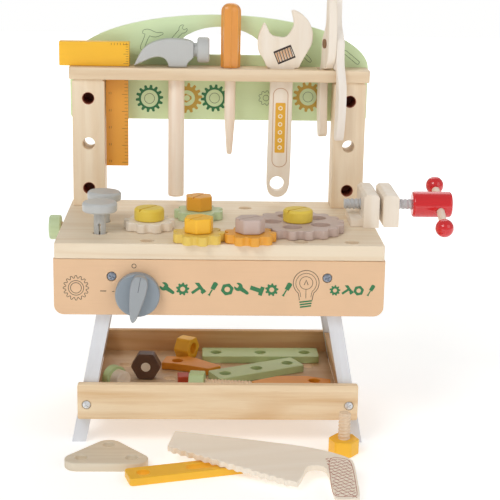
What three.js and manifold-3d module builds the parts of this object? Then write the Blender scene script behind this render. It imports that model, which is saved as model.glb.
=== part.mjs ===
// Toy tool bench of painted and plain wood, with its tools, gears, bolts and building pieces.
// Millimetres, +Z up, +Y to the back. Everything is laid out with X = 0 on the bench's middle,
// Y = 0 on the worktop's front edge and Z = 0 on the floor. At the end the whole toy is moved
// so that the origin is the bottom centre of its bounding box.
import * as THREE from 'three';
import { mergeVertices } from 'three/addons/utils/BufferGeometryUtils.js';
import Module from 'manifold-3d';

const wasm = await Module();
wasm.setup();

// ---- driving dimensions ----
const GAP = 0.3;                 // clearance between pieces that touch
const TOP_W = 330;               // worktop width
const TOP_D = 206;               // worktop depth
const TOP_T = 16;                // worktop thickness
const TOP_Z = 215;               // height of the working surface
const APRON_W = 332;             // front and back panels under the worktop
const APRON_T = 10;
const APRON_BOTTOM = 141;
const APRON_R = 10;              // radius of the panels' lower corners
const LEG_W = 14.8;              // leg width along X
const LEG_D = 14;                // leg depth along Y
const LEG_SLOPE = 0.1916;        // sideways splay, mm per mm of height
const LEG_X_AT_FLOOR = 143.6;    // leg centre line at the floor
const TRAY_W = 288;
const TRAY_Z0 = 28.5;
const TRAY_Z1 = 66;
const TRAY_T = 8;
const TRAY_BACK_W = 268;
const TRAY_BACK_Z1 = 62.5;
const POST_X = 143.5;            // middle of each upright post
const POST_W = 35;
const POST_Y0 = 172;
const POST_Y1 = 206;
const SHELF_Z0 = 356;
const SHELF_Z1 = 369;
const SHELF_Y0 = 169;
const SHELF_W = 329;
const ARCH_Z0 = 308;
const ARCH_Z1 = 368;             // height where the arch starts to curve
const ARCH_TOP = 424.4;
const ARCH_W = 332;
const ARCH_T = 9;
const HOLE_R = 7;                // holes that take the toy bolts
const SHANK_R = 6.3;             // bolt shank
const PITCH = 51.5;              // spacing of the holes in the worktop
const TOOL_Y = 188;              // line along the shelf that the tools hang on
const GEAR_T = 9;
const VISE_Y = 109;
const VISE_Z = 234.3;

// ---- colours ----
const PINE = 0xe6cfae;
const PALE = 0xe9dcc8;
const PEACH = 0xf3cda8;
const GREEN = 0xc4d9a4;
const LEAF = 0xa9bf86;
const WHITE = 0xe4e4e6;
const GREY = 0xb4b4b2;
const YELLOW = 0xf2b93a;
const LEMON = 0xf0d98a;
const ORANGE = 0xe39a34;
const TAUPE = 0xb5a095;
const BROWN = 0x6a4a33;
const RED = 0xc22330;
const STEEL = 0x8d8f92;
const DARK = 0x3a3634;

// ---- small helpers ----
const X = new THREE.Vector3(1, 0, 0);
const Y = new THREE.Vector3(0, 1, 0);
const Z = new THREE.Vector3(0, 0, 1);
const bench = new THREE.Group();

// A closed geometry as a manifold solid.
function solid(geometry) {
  const g = geometry.clone();
  g.deleteAttribute('normal');
  g.deleteAttribute('uv');
  const m = mergeVertices(g, 1e-4);
  return new wasm.Manifold(new wasm.Mesh({
    numProp: 3,
    vertProperties: new Float32Array(m.attributes.position.array),
    triVerts: new Uint32Array(m.index.array),
  }));
}

// A manifold solid back as a geometry.
function geometryOf(body) {
  const mesh = body.getMesh();
  const g = new THREE.BufferGeometry();
  g.setAttribute('position', new THREE.BufferAttribute(new Float32Array(mesh.vertProperties), 3));
  g.setIndex(new THREE.BufferAttribute(new Uint32Array(mesh.triVerts), 1));
  g.computeVertexNormals();
  return g;
}

// Add one named piece to the bench.
function piece(name, shape, color, roughness = 0.6, metalness = 0) {
  const geometry = shape.isBufferGeometry ? shape : geometryOf(shape);
  const material = new THREE.MeshStandardMaterial({ color, roughness, metalness });
  const mesh = new THREE.Mesh(geometry, material);
  mesh.name = name;
  bench.add(mesh);
  return mesh;
}

function box(x0, x1, y0, y1, z0, z1) {
  const g = new THREE.BoxGeometry(x1 - x0, y1 - y0, z1 - z0);
  return g.translate((x0 + x1) / 2, (y0 + y1) / 2, (z0 + z1) / 2);
}

// A cylinder from point a to point b.
function rod(a, b, r, sides = 18, r2 = r) {
  const from = new THREE.Vector3(...a);
  const to = new THREE.Vector3(...b);
  const axis = to.clone().sub(from);
  const g = new THREE.CylinderGeometry(r2, r, axis.length(), sides);
  const turn = new THREE.Quaternion().setFromUnitVectors(Y, axis.clone().normalize());
  g.applyQuaternion(turn);
  const middle = from.add(to).multiplyScalar(0.5);
  return g.translate(middle.x, middle.y, middle.z);
}

// A turned piece: profile of [radius, height] pairs around the Z axis.
function turned(profile, sides = 24) {
  const points = profile.map(([r, h]) => new THREE.Vector2(r, h));
  const g = new THREE.LatheGeometry(points, sides);
  return g.rotateX(Math.PI / 2);
}

function outline(points) {
  return new THREE.Shape(points.map(([a, b]) => new THREE.Vector2(a, b)));
}

// Extrude an outline by depth: 'z' keeps it flat on the floor, 'y' stands it up facing the
// front with its thickness along Y, 'x' stands it up facing the side, thickness along X.
function extrude(shape, depth, way = 'z', curveSegments = 4) {
  const g = new THREE.ExtrudeGeometry(shape, { depth, bevelEnabled: false, curveSegments });
  const minusY = Y.clone().negate();
  if (way === 'y') {
    g.applyMatrix4(new THREE.Matrix4().makeBasis(X, Z, minusY));
    g.translate(0, depth, 0);
  }
  if (way === 'x') {
    g.applyMatrix4(new THREE.Matrix4().makeBasis(Y, Z, X));
  }
  return g;
}

function rounded(w, h, r, lowerOnly = false) {
  const s = new THREE.Shape();
  const t = lowerOnly ? 0 : r;
  s.moveTo(-w / 2 + r, -h / 2);
  s.lineTo(w / 2 - r, -h / 2);
  s.absarc(w / 2 - r, -h / 2 + r, r, -Math.PI / 2, 0, false);
  s.lineTo(w / 2, h / 2 - t);
  if (t) s.absarc(w / 2 - r, h / 2 - r, r, 0, Math.PI / 2, false);
  s.lineTo(-w / 2 + t, h / 2);
  if (t) s.absarc(-w / 2 + r, h / 2 - r, r, Math.PI / 2, Math.PI, false);
  s.lineTo(-w / 2, -h / 2 + r);
  s.absarc(-w / 2 + r, -h / 2 + r, r, Math.PI, Math.PI * 1.5, false);
  return s;
}

// Cut the corners of a closed outline once, so that a coarse polygon reads as a soft curve.
function softened(points) {
  const soft = [];
  points.forEach(([a, b], i) => {
    const [c, d] = points[(i + 1) % points.length];
    soft.push([a * 0.8 + c * 0.2, b * 0.8 + d * 0.2]);
    soft.push([a * 0.2 + c * 0.8, b * 0.2 + d * 0.8]);
  });
  return soft;
}

function circlePath(x, y, r, sides = 16) {
  const points = [];
  for (let i = 0; i < sides; i += 1) {
    const a = (-i / sides) * Math.PI * 2;
    points.push(new THREE.Vector2(x + r * Math.cos(a), y + r * Math.sin(a)));
  }
  return new THREE.Path(points);
}

function cut(base, ...tools) {
  let body = base.isBufferGeometry ? solid(base) : base;
  for (const tool of tools) body = body.subtract(tool.isBufferGeometry ? solid(tool) : tool);
  return body;
}

function join(base, ...others) {
  let body = base.isBufferGeometry ? solid(base) : base;
  for (const other of others) body = body.add(other.isBufferGeometry ? solid(other) : other);
  return body;
}

function hexagon(acrossCorners) {
  const points = [];
  for (let i = 0; i < 6; i += 1) {
    const a = (i * Math.PI) / 3;
    points.push([Math.cos(a) * acrossCorners / 2, Math.sin(a) * acrossCorners / 2]);
  }
  return outline(points);
}

// ---- worktop and the box under it ----
const worktopHoles = [];
for (const x of [-73, -21.5, 30, 81.5, 133]) {
  for (const y of [14.6, 14.6 + PITCH, 14.6 + 2 * PITCH, 14.6 + 3 * PITCH]) {
    const underPost = Math.abs(x) > 120 && y > 160;
    const underVise = x > 120 && y > 60 && y < 160;
    if (!underPost && !underVise) worktopHoles.push([x, y]);
  }
}
const NAIL_HOLE = [-122.5, 45];
const BACK_NAIL_HOLE = [NAIL_HOLE[0], NAIL_HOLE[1] + PITCH];
worktopHoles.push(NAIL_HOLE, BACK_NAIL_HOLE, [NAIL_HOLE[0], NAIL_HOLE[1] + 2 * PITCH]);
piece('worktop', cut(
  box(-TOP_W / 2, TOP_W / 2, 0, TOP_D, TOP_Z - TOP_T, TOP_Z),
  ...worktopHoles.map(([x, y]) => rod([x, y, TOP_Z - TOP_T - 1], [x, y, TOP_Z + 1], HOLE_R, 16)),
), PINE);

const apronTop = TOP_Z - TOP_T - GAP;
const apronH = apronTop - APRON_BOTTOM;
const apronMid = (apronTop + APRON_BOTTOM) / 2;
const KNOB_X = -82;
const KNOB_Z = 164;
const SCREW_X = 108;
const SCREW_Z = 181;
const apron = extrude(rounded(APRON_W, apronH, APRON_R, true), APRON_T, 'y');
apron.translate(0, 0, apronMid);
piece('front_panel', cut(
  apron,
  rod([KNOB_X, -1, KNOB_Z], [KNOB_X, APRON_T + 1, KNOB_Z], 5.6),
  rod([-SCREW_X, -1, SCREW_Z], [-SCREW_X, 3, SCREW_Z], 4.8),
  rod([SCREW_X, -1, SCREW_Z], [SCREW_X, 3, SCREW_Z], 4.8),
), PEACH, 0.45);
piece('back_panel', apron.clone().translate(0, TOP_D - APRON_T, 0), PEACH, 0.45);

const SIDE_BOLT = [173, 190];    // Y and Z of the green bolt on the left
for (const [side, name] of [[-1, 'side_rail_left'], [1, 'side_rail_right']]) {
  const xs = [side * 155, side * 164].sort((a, b) => a - b);
  const rail = box(xs[0], xs[1], APRON_T + GAP, TOP_D - APRON_T - GAP, APRON_BOTTOM + 12, apronTop);
  const hole = rod([-170, ...SIDE_BOLT], [-150, ...SIDE_BOLT], HOLE_R);
  piece(name, side < 0 ? cut(rail, hole) : rail, PINE);
}

const TRAY_SCREW_X = 134.8;
const TRAY_SCREW_Z = 44;

// ---- legs: straight boards, splayed sideways, cut flat at both ends ----
const legX = (z) => LEG_X_AT_FLOOR - LEG_SLOPE * z;
const legShape = (side) => outline([
  [side * (legX(0) - LEG_W / 2), 0],
  [side * (legX(0) + LEG_W / 2), 0],
  [side * (legX(apronTop) + LEG_W / 2), apronTop],
  [side * (legX(apronTop) - LEG_W / 2), apronTop],
]);
const LEG_FRONT_Y = APRON_T + GAP;
const LEG_BACK_Y = TOP_D - APRON_T - GAP - LEG_D;
for (const [side, hand] of [[-1, 'left'], [1, 'right']]) {
  for (const [y, place] of [[LEG_FRONT_Y, 'front'], [LEG_BACK_Y, 'back']]) {
    const leg = extrude(legShape(side), LEG_D, 'y').translate(0, y, 0);
    const front = place === 'front';
    const sx = side * TRAY_SCREW_X;
    const pilot = rod([sx, y - 1, TRAY_SCREW_Z], [sx, y + 7, TRAY_SCREW_Z], 2.6, 12);
    piece(`leg_${place}_${hand}`, front ? cut(leg, pilot) : leg, WHITE, 0.4);
  }
}

// ---- tray between the legs ----
const trayFrontY = LEG_FRONT_Y - GAP - TRAY_T;
const trayBackY = LEG_BACK_Y + LEG_D + GAP;
function trayBoard(width, top, y) {
  const board = extrude(rounded(width, top - TRAY_Z0, 2), TRAY_T, 'y');
  return board.translate(0, y, (top + TRAY_Z0) / 2);
}
const trayFront = trayBoard(TRAY_W, TRAY_Z1, trayFrontY);
const trayScrewHoles = [-1, 1].map((s) => rod(
  [s * TRAY_SCREW_X, trayFrontY - 1, TRAY_SCREW_Z],
  [s * TRAY_SCREW_X, trayFrontY + TRAY_T + 1, TRAY_SCREW_Z], 2.6, 12,
));
const traySinks = [-1, 1].map((s) => rod(
  [s * TRAY_SCREW_X, trayFrontY - 1, TRAY_SCREW_Z],
  [s * TRAY_SCREW_X, trayFrontY + 2.4, TRAY_SCREW_Z], 4.9, 20,
));
piece('tray_front', cut(trayFront, ...trayScrewHoles, ...traySinks), PINE);
piece('tray_back', trayBoard(TRAY_BACK_W, TRAY_BACK_Z1, trayBackY), PINE);

const FLOOR_Z0 = 33;
const FLOOR_Z1 = 38;
const sideInner = (z) => legX(z) - LEG_W / 2 + 0.6;
const SIDE_T = 8;
for (const [side, hand] of [[-1, 'left'], [1, 'right']]) {
  const shape = outline([
    [side * sideInner(TRAY_Z0), TRAY_Z0],
    [side * (sideInner(TRAY_Z0) + SIDE_T), TRAY_Z0],
    [side * (sideInner(TRAY_Z1) + SIDE_T), TRAY_Z1],
    [side * sideInner(TRAY_Z1), TRAY_Z1],
  ]);
  const depth = LEG_BACK_Y - LEG_FRONT_Y - LEG_D - 2 * GAP;
  const board = extrude(shape, depth, 'y').translate(0, LEG_FRONT_Y + LEG_D + GAP, 0);
  piece(`tray_${hand}`, board, PINE);
}
const floorX0 = legX(FLOOR_Z0) - LEG_W / 2 - GAP;
const floorX1 = legX(FLOOR_Z1) - LEG_W / 2 - GAP;
const floorShape = outline([
  [-floorX0, FLOOR_Z0], [floorX0, FLOOR_Z0], [floorX1, FLOOR_Z1], [-floorX1, FLOOR_Z1],
]);
const floorDepth = trayBackY - LEG_FRONT_Y;
const trayFloor = extrude(floorShape, floorDepth, 'y').translate(0, LEG_FRONT_Y, 0);
const floorHoles = [];
for (const x of [-103, -51.5, 0, 51.5, 103]) {
  for (const y of [58, 101.5, 145]) {
    floorHoles.push(rod([x, y, FLOOR_Z0 - 1], [x, y, FLOOR_Z1 + 1], HOLE_R, 12));
  }
}
piece('tray_floor', cut(trayFloor, ...floorHoles), PINE);

// ---- posts, tool shelf and arched back board ----
const POST_Z1 = SHELF_Z0 - GAP;
for (const [side, hand] of [[-1, 'left'], [1, 'right']]) {
  const c = 2.5;
  const x0 = side * POST_X - POST_W / 2;
  const x1 = side * POST_X + POST_W / 2;
  const face = outline([
    [x0, TOP_Z + GAP], [x1, TOP_Z + GAP], [x1, POST_Z1 - c], [x1 - c, POST_Z1],
    [x0 + c, POST_Z1], [x0, POST_Z1 - c],
  ]);
  const post = extrude(face, POST_Y1 - POST_Y0, 'y').translate(0, POST_Y0, 0);
  const x = side * POST_X;
  piece(`post_${hand}`, cut(
    post,
    rod([x, POST_Y0 - 1, 235], [x, POST_Y1 - 6, 235], 6.8),
    rod([x, POST_Y0 - 1, 285], [x, POST_Y1 + 1, 285], 6.8),
    rod([x, POST_Y0 - 1, 335], [x, POST_Y1 + 1, 335], 6.8),
  ), PINE);
}

const HAMMER_X = -47.6;
const SCREWDRIVER_X = 11.7;
const WRENCH_X = 68.1;
const SQUARE_X = -112.9;
const PLIERS_X = 123.3;
const SHELF_Y1 = POST_Y1;
const shelfCut = (x0, x1, y0, y1) => box(x0, x1, y0, y1, SHELF_Z0 - 1, SHELF_Z1 + 1);
const shelfHole = (x, r) => rod([x, TOOL_Y, SHELF_Z0 - 1], [x, TOOL_Y, SHELF_Z1 + 1], r);
const shelf = extrude(rounded(SHELF_W, SHELF_Y1 - SHELF_Y0, 5), SHELF_Z1 - SHELF_Z0);
shelf.translate(0, (SHELF_Y0 + SHELF_Y1) / 2, SHELF_Z0);
piece('tool_shelf', cut(
  shelf,
  shelfHole(HAMMER_X, 9.7),
  shelfHole(SCREWDRIVER_X, 7.6),
  shelfCut(WRENCH_X - 15, WRENCH_X + 14.2, TOOL_Y - 6.5, TOOL_Y + 6.5),
  shelfCut(-125.6, -99.8, TOOL_Y - 3.2, TOOL_Y + 3.2),
  shelfCut(107.5, 125.4, 180.5, 201),
), PINE);

const ARCH_RISE = ARCH_TOP - ARCH_Z1;
const arch = new THREE.Shape();
arch.moveTo(-ARCH_W / 2 + 5, ARCH_Z0);
arch.lineTo(ARCH_W / 2 - 5, ARCH_Z0);
arch.absarc(ARCH_W / 2 - 5, ARCH_Z0 + 5, 5, -Math.PI / 2, 0, false);
arch.lineTo(ARCH_W / 2, ARCH_Z1);
arch.absellipse(0, ARCH_Z1, ARCH_W / 2, ARCH_RISE, 0, Math.PI, false, 0);
arch.lineTo(-ARCH_W / 2, ARCH_Z0 + 5);
arch.absarc(-ARCH_W / 2 + 5, ARCH_Z0 + 5, 5, Math.PI, Math.PI * 1.5, false);
const handle = new THREE.Path();
handle.moveTo(-50, 380.5);
handle.absellipse(0, 380.5, 50, 31, Math.PI, 0, true, 0);
handle.lineTo(-50, 380.5);
arch.holes.push(handle);
piece('arch_board', extrude(arch, ARCH_T, 'y', 28).translate(0, POST_Y1 + GAP, 0), GREEN, 0.45);

// ---- screws ----
// A countersunk screw with a cross recess; its head faces -Y.
function crossScrew(x, y, z, headR, headT, length) {
  const head = rod([x, y, z], [x, y + headT, z], headR, 20);
  const shank = rod([x, y + headT - 0.5, z], [x, y + length, z], 2, 12);
  const slotA = box(x - headR * 0.62, x + headR * 0.62, y - 1, y + 1.1, z - 0.6, z + 0.6);
  const slotB = box(x - 0.6, x + 0.6, y - 1, y + 1.1, z - headR * 0.62, z + headR * 0.62);
  return cut(join(head, shank), slotA, slotB);
}
for (const [side, hand] of [[-1, 'left'], [1, 'right']]) {
  const sx = side * SCREW_X;
  piece(`panel_screw_${hand}`, cut(
    rod([sx, 0.2, SCREW_Z], [sx, 2.7, SCREW_Z], 4.4, 20),
    box(sx - 2.7, sx + 2.7, -1, 1.3, SCREW_Z - 0.6, SCREW_Z + 0.6),
    box(sx - 0.6, sx + 0.6, -1, 1.3, SCREW_Z - 2.7, SCREW_Z + 2.7),
  ), DARK, 0.4, 0.8);
  piece(
    `tray_screw_${hand}`,
    crossScrew(side * TRAY_SCREW_X, trayFrontY - 0.4, TRAY_SCREW_Z, 4.6, 2.4, 13),
    STEEL, 0.3, 1,
  );
}

// ---- dial knob on the front panel ----
// A disc with a raised teardrop grip, on a short spindle through the panel.
const grip = new THREE.Shape();
grip.moveTo(0, -27);
grip.quadraticCurveTo(5, -22, 8, 2);
grip.quadraticCurveTo(9.6, 19, 5.5, 21.2);
grip.quadraticCurveTo(0, 23, -5.5, 21.2);
grip.quadraticCurveTo(-9.6, 19, -8, 2);
grip.quadraticCurveTo(-5, -22, 0, -27);
const gripSolid = extrude(grip, 10, 'y', 6).translate(0, -19.5, 0);
const disc = rod([0, -10, 0], [0, -GAP, 0], 22.3, 40);
const spindle = rod([0, -2, 0], [0, 14, 0], 5, 20);
const collar = rod([0, APRON_T + GAP, 0], [0, 15, 0], 8, 20);
const knob = piece('dial_knob', join(disc, gripSolid, spindle, collar), GREY, 0.5);
knob.position.set(KNOB_X, 0, KNOB_Z);
knob.rotation.y = THREE.MathUtils.degToRad(10);

// ---- vise on the right of the worktop ----
const JAW_Y0 = 76;
const JAW_Y1 = 143;
const jawTop = TOP_Z + 35.6;
const jawShape = outline([
  [151.5, TOP_Z + GAP], [168, TOP_Z + GAP], [168, jawTop - 3], [165, jawTop], [154.5, jawTop],
  [151.5, jawTop - 3],
]);
const jawFoot = box(139, 153.5, JAW_Y0 + 6, JAW_Y1 - 6, TOP_Z + GAP, TOP_Z + 8);
const screwBore = (r) => rod([120, VISE_Y, VISE_Z], [220, VISE_Y, VISE_Z], r);
piece('vise_fixed_jaw', cut(
  join(extrude(jawShape, JAW_Y1 - JAW_Y0, 'y').translate(0, JAW_Y0, 0), jawFoot),
  screwBore(6.6),
), PALE);
const slidingShape = outline([
  [172, TOP_Z + 3], [174, TOP_Z + 1], [189, TOP_Z + 1], [189, jawTop - 3], [186, jawTop],
  [175, jawTop], [172, jawTop - 3],
]);
piece('vise_sliding_jaw', cut(
  extrude(slidingShape, JAW_Y1 - JAW_Y0, 'y').translate(0, JAW_Y0, 0),
  screwBore(6.1),
), PALE);
// The spindle: thread, a collar outside the sliding jaw and the red handle, glued as one.
const handleProfile = [
  [0, 0], [11.5, 0], [13.85, 2.4], [13.85, 40.1], [11.5, 42.5], [0, 42.5],
];
const barDirection = new THREE.Vector3(0, 70.9, 30.1).normalize();
const BAR_X = 236.5;
const barEnd = (t) => [BAR_X, VISE_Y + barDirection.y * t, VISE_Z + barDirection.z * t];
const viseHandle = turned(handleProfile, 28).rotateY(Math.PI / 2).translate(207, VISE_Y, VISE_Z);
piece('vise_spindle', cut(
  join(
    viseHandle,
    rod([134, VISE_Y, VISE_Z], [210, VISE_Y, VISE_Z], 5.7),
    rod([190.3, VISE_Y, VISE_Z], [193, VISE_Y, VISE_Z], 7.6),
  ),
  rod(barEnd(-20), barEnd(20), 4.6, 20),
), RED, 0.35);
const BAR_HALF = 39.5;
const BAR_SLIP = -3.5;             // the bar rests a little off the middle, towards the front
const ball = (t) => new THREE.SphereGeometry(9.75, 18, 10).translate(...barEnd(t + BAR_SLIP));
piece('vise_crossbar', join(
  rod(barEnd(BAR_SLIP - BAR_HALF), barEnd(BAR_SLIP + BAR_HALF), 4.2, 20),
  ball(-BAR_HALF),
  ball(BAR_HALF),
), PINE);

// ---- gears on the worktop ----
// Wavy teeth: the rim's radius follows a cosine wave, so that neighbours roll together.
const TOOTH = 1.9;
function gearShape(teeth, radius, phase) {
  const steps = teeth * 8;
  const points = [];
  for (let i = 0; i < steps; i += 1) {
    const a = (i / steps) * Math.PI * 2;
    const r = radius + TOOTH * Math.cos(teeth * (a - phase));
    points.push([r * Math.cos(a), r * Math.sin(a)]);
  }
  return outline(points);
}
const SMALL_TEETH = 9;
const LARGE_TEETH = 17;
const MESH_DISTANCE = PITCH * Math.SQRT2;
const BACKLASH = 0.45;
const smallR = MESH_DISTANCE * SMALL_TEETH / (SMALL_TEETH + LARGE_TEETH) - BACKLASH;
const largeR = MESH_DISTANCE * LARGE_TEETH / (SMALL_TEETH + LARGE_TEETH) - BACKLASH;
const gearZ = TOP_Z + GAP;
function gear(name, x, y, teeth, radius, phase, color, windows = 0) {
  const shape = gearShape(teeth, radius, phase);
  shape.holes.push(circlePath(0, 0, HOLE_R + 0.2));
  for (let i = 0; i < windows; i += 1) {
    const a = THREE.MathUtils.degToRad(-33 + (i * 360) / windows);
    shape.holes.push(circlePath(Math.cos(a) * 27, Math.sin(a) * 27, 10));
  }
  const mesh = piece(name, extrude(shape, GEAR_T), color, 0.5);
  mesh.position.set(x, y, gearZ);
}
const YELLOW_AT = [-21.5, 14.6];
const ORANGE_AT = [30, 14.6];
const TAUPE_AT = [81.5, 14.6 + PITCH];
const BEIGE_AT = [-73, 14.6 + PITCH];
const GREEN_AT = [-21.5, 14.6 + 2 * PITCH];
// The large gear's gaps face the orange gear's teeth along the line between their centres.
const lineAngle = Math.PI / 4;
const largePhase = lineAngle + Math.PI + (Math.PI + SMALL_TEETH * lineAngle) / LARGE_TEETH;
gear('gear_yellow', ...YELLOW_AT, SMALL_TEETH, smallR, 0, LEMON);
gear('gear_orange', ...ORANGE_AT, SMALL_TEETH, smallR, 0, ORANGE);
gear('gear_large', ...TAUPE_AT, LARGE_TEETH, largeR, largePhase, TAUPE, 5);
gear('gear_beige', ...BEIGE_AT, SMALL_TEETH, smallR, 0.2, PALE);
gear('gear_green', ...GREEN_AT, SMALL_TEETH, smallR, 0.35, GREEN);

// ---- bolts ----
// Hexagon head over a plain shank, standing on Z = 0 with its shank downwards.
function hexBolt(across, headT, shankL, turn = 0) {
  const head = extrude(hexagon(across), headT).rotateZ(turn);
  return join(head, rod([0, 0, -shankL], [0, 0, 1], SHANK_R, 20));
}
function roundBolt(r, headT, shankL, turn = 0) {
  const head = turned([[0, 0], [r, 0], [r, headT - 2], [r - 2.2, headT], [0, headT]], 24);
  const slot = box(-r - 1, r + 1, -1.6, 1.6, headT - 3, headT + 1).rotateZ(turn);
  return join(cut(head, slot), rod([0, 0, -shankL], [0, 0, 1], SHANK_R, 20));
}
const onGear = TOP_Z + GEAR_T + 2 * GAP;
function setBolt(name, [x, y], geometry, color) {
  const mesh = piece(name, geometry, color, 0.45);
  mesh.position.set(x, y, onGear);
}
setBolt('bolt_yellow_hex', YELLOW_AT, hexBolt(31, 15, 25, 0.35), YELLOW);
setBolt('bolt_taupe_hex', ORANGE_AT, hexBolt(31, 15, 25, 0.1), TAUPE);
setBolt('bolt_large_round', TAUPE_AT, roundBolt(15.5, 13, 25, 0.25), YELLOW);
setBolt('bolt_beige_round', BEIGE_AT, roundBolt(15.5, 13, 25, -0.2), YELLOW);
setBolt('bolt_green_hex', GREEN_AT, hexBolt(31, 15, 25, 0.6), ORANGE);

// ---- nails and the bolt in the left rail ----
function nail(headR, headT, shankL) {
  const head = turned([
    [0, 0], [headR - 1.5, 0], [headR, 1.5], [headR, headT - 2], [headR - 2, headT], [0, headT],
  ], 24);
  const shank = rod([0, 0, -shankL], [0, 0, 1], 6.2, 20);
  const slit = box(-0.9, 0.9, -8, 8, -shankL - 1, -12);
  return cut(join(head, shank), slit);
}
const nailFront = piece('nail_front', nail(17.8, 10.4, 36), GREY, 0.45);
nailFront.position.set(NAIL_HOLE[0], NAIL_HOLE[1], 237.5);
const nailBack = piece('nail_back', nail(17.8, 9.5, 34), GREY, 0.45);
nailBack.position.set(BACK_NAIL_HOLE[0] + 1, BACK_NAIL_HOLE[1], 238.5);
nailBack.rotation.y = THREE.MathUtils.degToRad(1.5);

const sideBolt = join(
  turned([[0, 0], [12.6, 0], [13.85, 1.4], [13.85, 11.4], [12.2, 13.2], [0, 13.6]], 24),
  rod([0, 0, -30], [0, 0, 1], SHANK_R, 20),
);
const sideBoltMesh = piece('bolt_side_green', sideBolt, GREEN, 0.45);
sideBoltMesh.rotation.y = -Math.PI / 2;
sideBoltMesh.position.set(-174.8, ...SIDE_BOLT);

// ---- tools on the shelf ----
const onShelf = SHELF_Z1 + GAP;
// Hammer: claw head seen from the side, with a round face, on a dowel handle.
const headShape = outline([
  [-46.5, 1], [-42, 11], [-35.6, 20.6], [-26.1, 26.6], [-15.3, 29.7], [-6.5, 30.6], [10.2, 30.2],
  [17.8, 27.3], [19, 25], [19, 12], [17.8, 9.6], [12.6, 5.4], [11, 0], [-8.5, 0], [-9, 3.6],
  [-11.5, 8], [-15.2, 10.4], [-20, 11.4], [-26.6, 10.2], [-35.6, 6],
]);
const headFlat = extrude(headShape, 19, 'y').translate(0, -9.5, 0);
const clawNotch = extrude(outline([[-48, -2.6], [-27, 0], [-48, 2.6]]), 40);
const faceZ = 18.6;
const hammerFace = join(
  rod([18, 0, faceZ], [23, 0, faceZ], 7.6, 24),
  turned([[0, 0], [12.4, 0], [13.8, 1.4], [13.8, 12.2], [12.4, 13.6], [0, 13.6]], 32)
    .rotateY(Math.PI / 2).translate(22.5, 0, faceZ),
);
const tenonHole = rod([0, 0, -1], [0, 0, 20.4], 5.8, 20);
const hammerHead = piece('hammer_head', cut(join(headFlat, hammerFace), clawNotch, tenonHole), GREY);
hammerHead.position.set(HAMMER_X, TOOL_Y, onShelf);
const hammerHandle = piece('hammer_handle', join(
  rod([0, 0, -145], [0, 0, -GAP], 8.9, 28),
  rod([0, 0, -2], [0, 0, 20], 5.5, 20),
), PINE);
hammerHandle.position.set(HAMMER_X, TOOL_Y, onShelf);

// Screwdriver: fluted handle standing on the shelf, plain shaft through it, flattened tip.
const fluted = [];
for (let i = 0; i < 48; i += 1) {
  const a = (i / 48) * Math.PI * 2;
  const r = 10.1 + 0.7 * Math.cos(8 * a);
  fluted.push([r * Math.cos(a), r * Math.sin(a)]);
}
const dome = turned([[0, -1], [10.6, -1], [10.4, 1], [8.4, 4.4], [4.6, 6.6], [0, 7.4]], 24);
const flatCut = (side) => extrude(outline([
  [side * 6.2, -76], [side * 8, -76], [side * 8, -98], [side * 1.6, -98],
]), 20, 'x').translate(-10, 0, 0);
const edgeCut = (side) => extrude(outline([
  [side * 6.2, -82], [side * 8, -82], [side * 8, -98], [side * 4.4, -98],
]), 20, 'y').translate(0, -10, 0);
const screwdriver = piece('screwdriver', join(
  cut(rod([0, 0, -97], [0, 0, 1], 6, 24), flatCut(-1), flatCut(1), edgeCut(-1), edgeCut(1)),
  extrude(outline(fluted), 62.3),
  dome.translate(0, 0, 62.3),
), ORANGE, 0.45);
screwdriver.position.set(SCREWDRIVER_X, TOOL_Y, onShelf);

// Adjustable wrench: one flat board with an open jaw and a long handle with a hanging hole.
const wrenchShape = outline(softened([
  [-12.2, 0], [-16.4, 0.3], [-21.2, 11.4], [-25.4, 16], [-27.4, 26], [-26, 37], [-20.6, 48.8],
  [-18.6, 48.8], [-13, 36], [-5, 34], [4, 33.4], [10, 41], [12.9, 49], [9.4, 62.5],
  [12, 63.8], [20.6, 60], [29, 51.5], [33.6, 40], [33, 27], [27.8, 18], [21.5, 7], [19, 0.3],
  [12.8, 0], [12.6, -16], [12.2, -126], [9.5, -138.5], [2.6, -144.6], [-7, -144.6],
  [-13, -138.5], [-14.4, -126], [-12.4, -16],
]));
const WRENCH_T = 10;
const wrench = cut(
  extrude(wrenchShape, WRENCH_T, 'y').translate(0, -WRENCH_T / 2, 0),
  rod([-2.4, -9, -129], [-2.4, 9, -129], 8, 28),
);
piece('wrench', wrench, PALE).position.set(WRENCH_X, TOOL_Y, onShelf);

// Try square: yellow stock lying on the shelf, ruler blade hanging through its slot.
piece('try_square', join(
  box(-175.5, -99, TOOL_Y - 7, TOOL_Y + 7, onShelf, onShelf + 26.4),
  box(-125.2, -100.6, TOOL_Y - 2.1, TOOL_Y + 2.1, 258, onShelf + 18),
), YELLOW, 0.45);

// Pliers: two flat halves crossing at a pin, astride the shelf's front lip, seen edge on.
const PLIER_T = 9.3;
const half = [
  [-0.6, 50], [-0.6, 22], [5, 12], [12, 3], [11.5, -8], [12.5, -20], [17, -31], [22.5, -45],
  [23.4, -70], [18.5, -104], [13, -105], [9.2, -101], [12, -70], [12.6, -48], [11.4, -28.2],
  [-1, -28.2], [-9.5, -20], [-12, -8], [-12.5, 3], [-12.5, 14], [-12, 30], [-9.5, 44], [-7.5, 50],
];
const pliersHinge = [PLIERS_X, 176, 398];
const mirroredHalf = half.map(([a, b]) => [-a, b]).reverse();
const halfBack = extrude(outline(softened(half)), PLIER_T, 'x').translate(-PLIER_T - 0.15, 0, 0);
const halfFront = extrude(outline(softened(mirroredHalf)), PLIER_T, 'x').translate(0.15, 0, 0);
const pin = rod([-PLIER_T - 1.6, 0, 0], [PLIER_T + 0.4, 0, 0], 4, 20);
const plierA = piece('pliers_half_back', join(halfBack, pin), PALE);
const plierB = piece('pliers_half_front', cut(halfFront, rod([-1, 0, 0], [20, 0, 0], 4.4, 20)), PALE);
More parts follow.
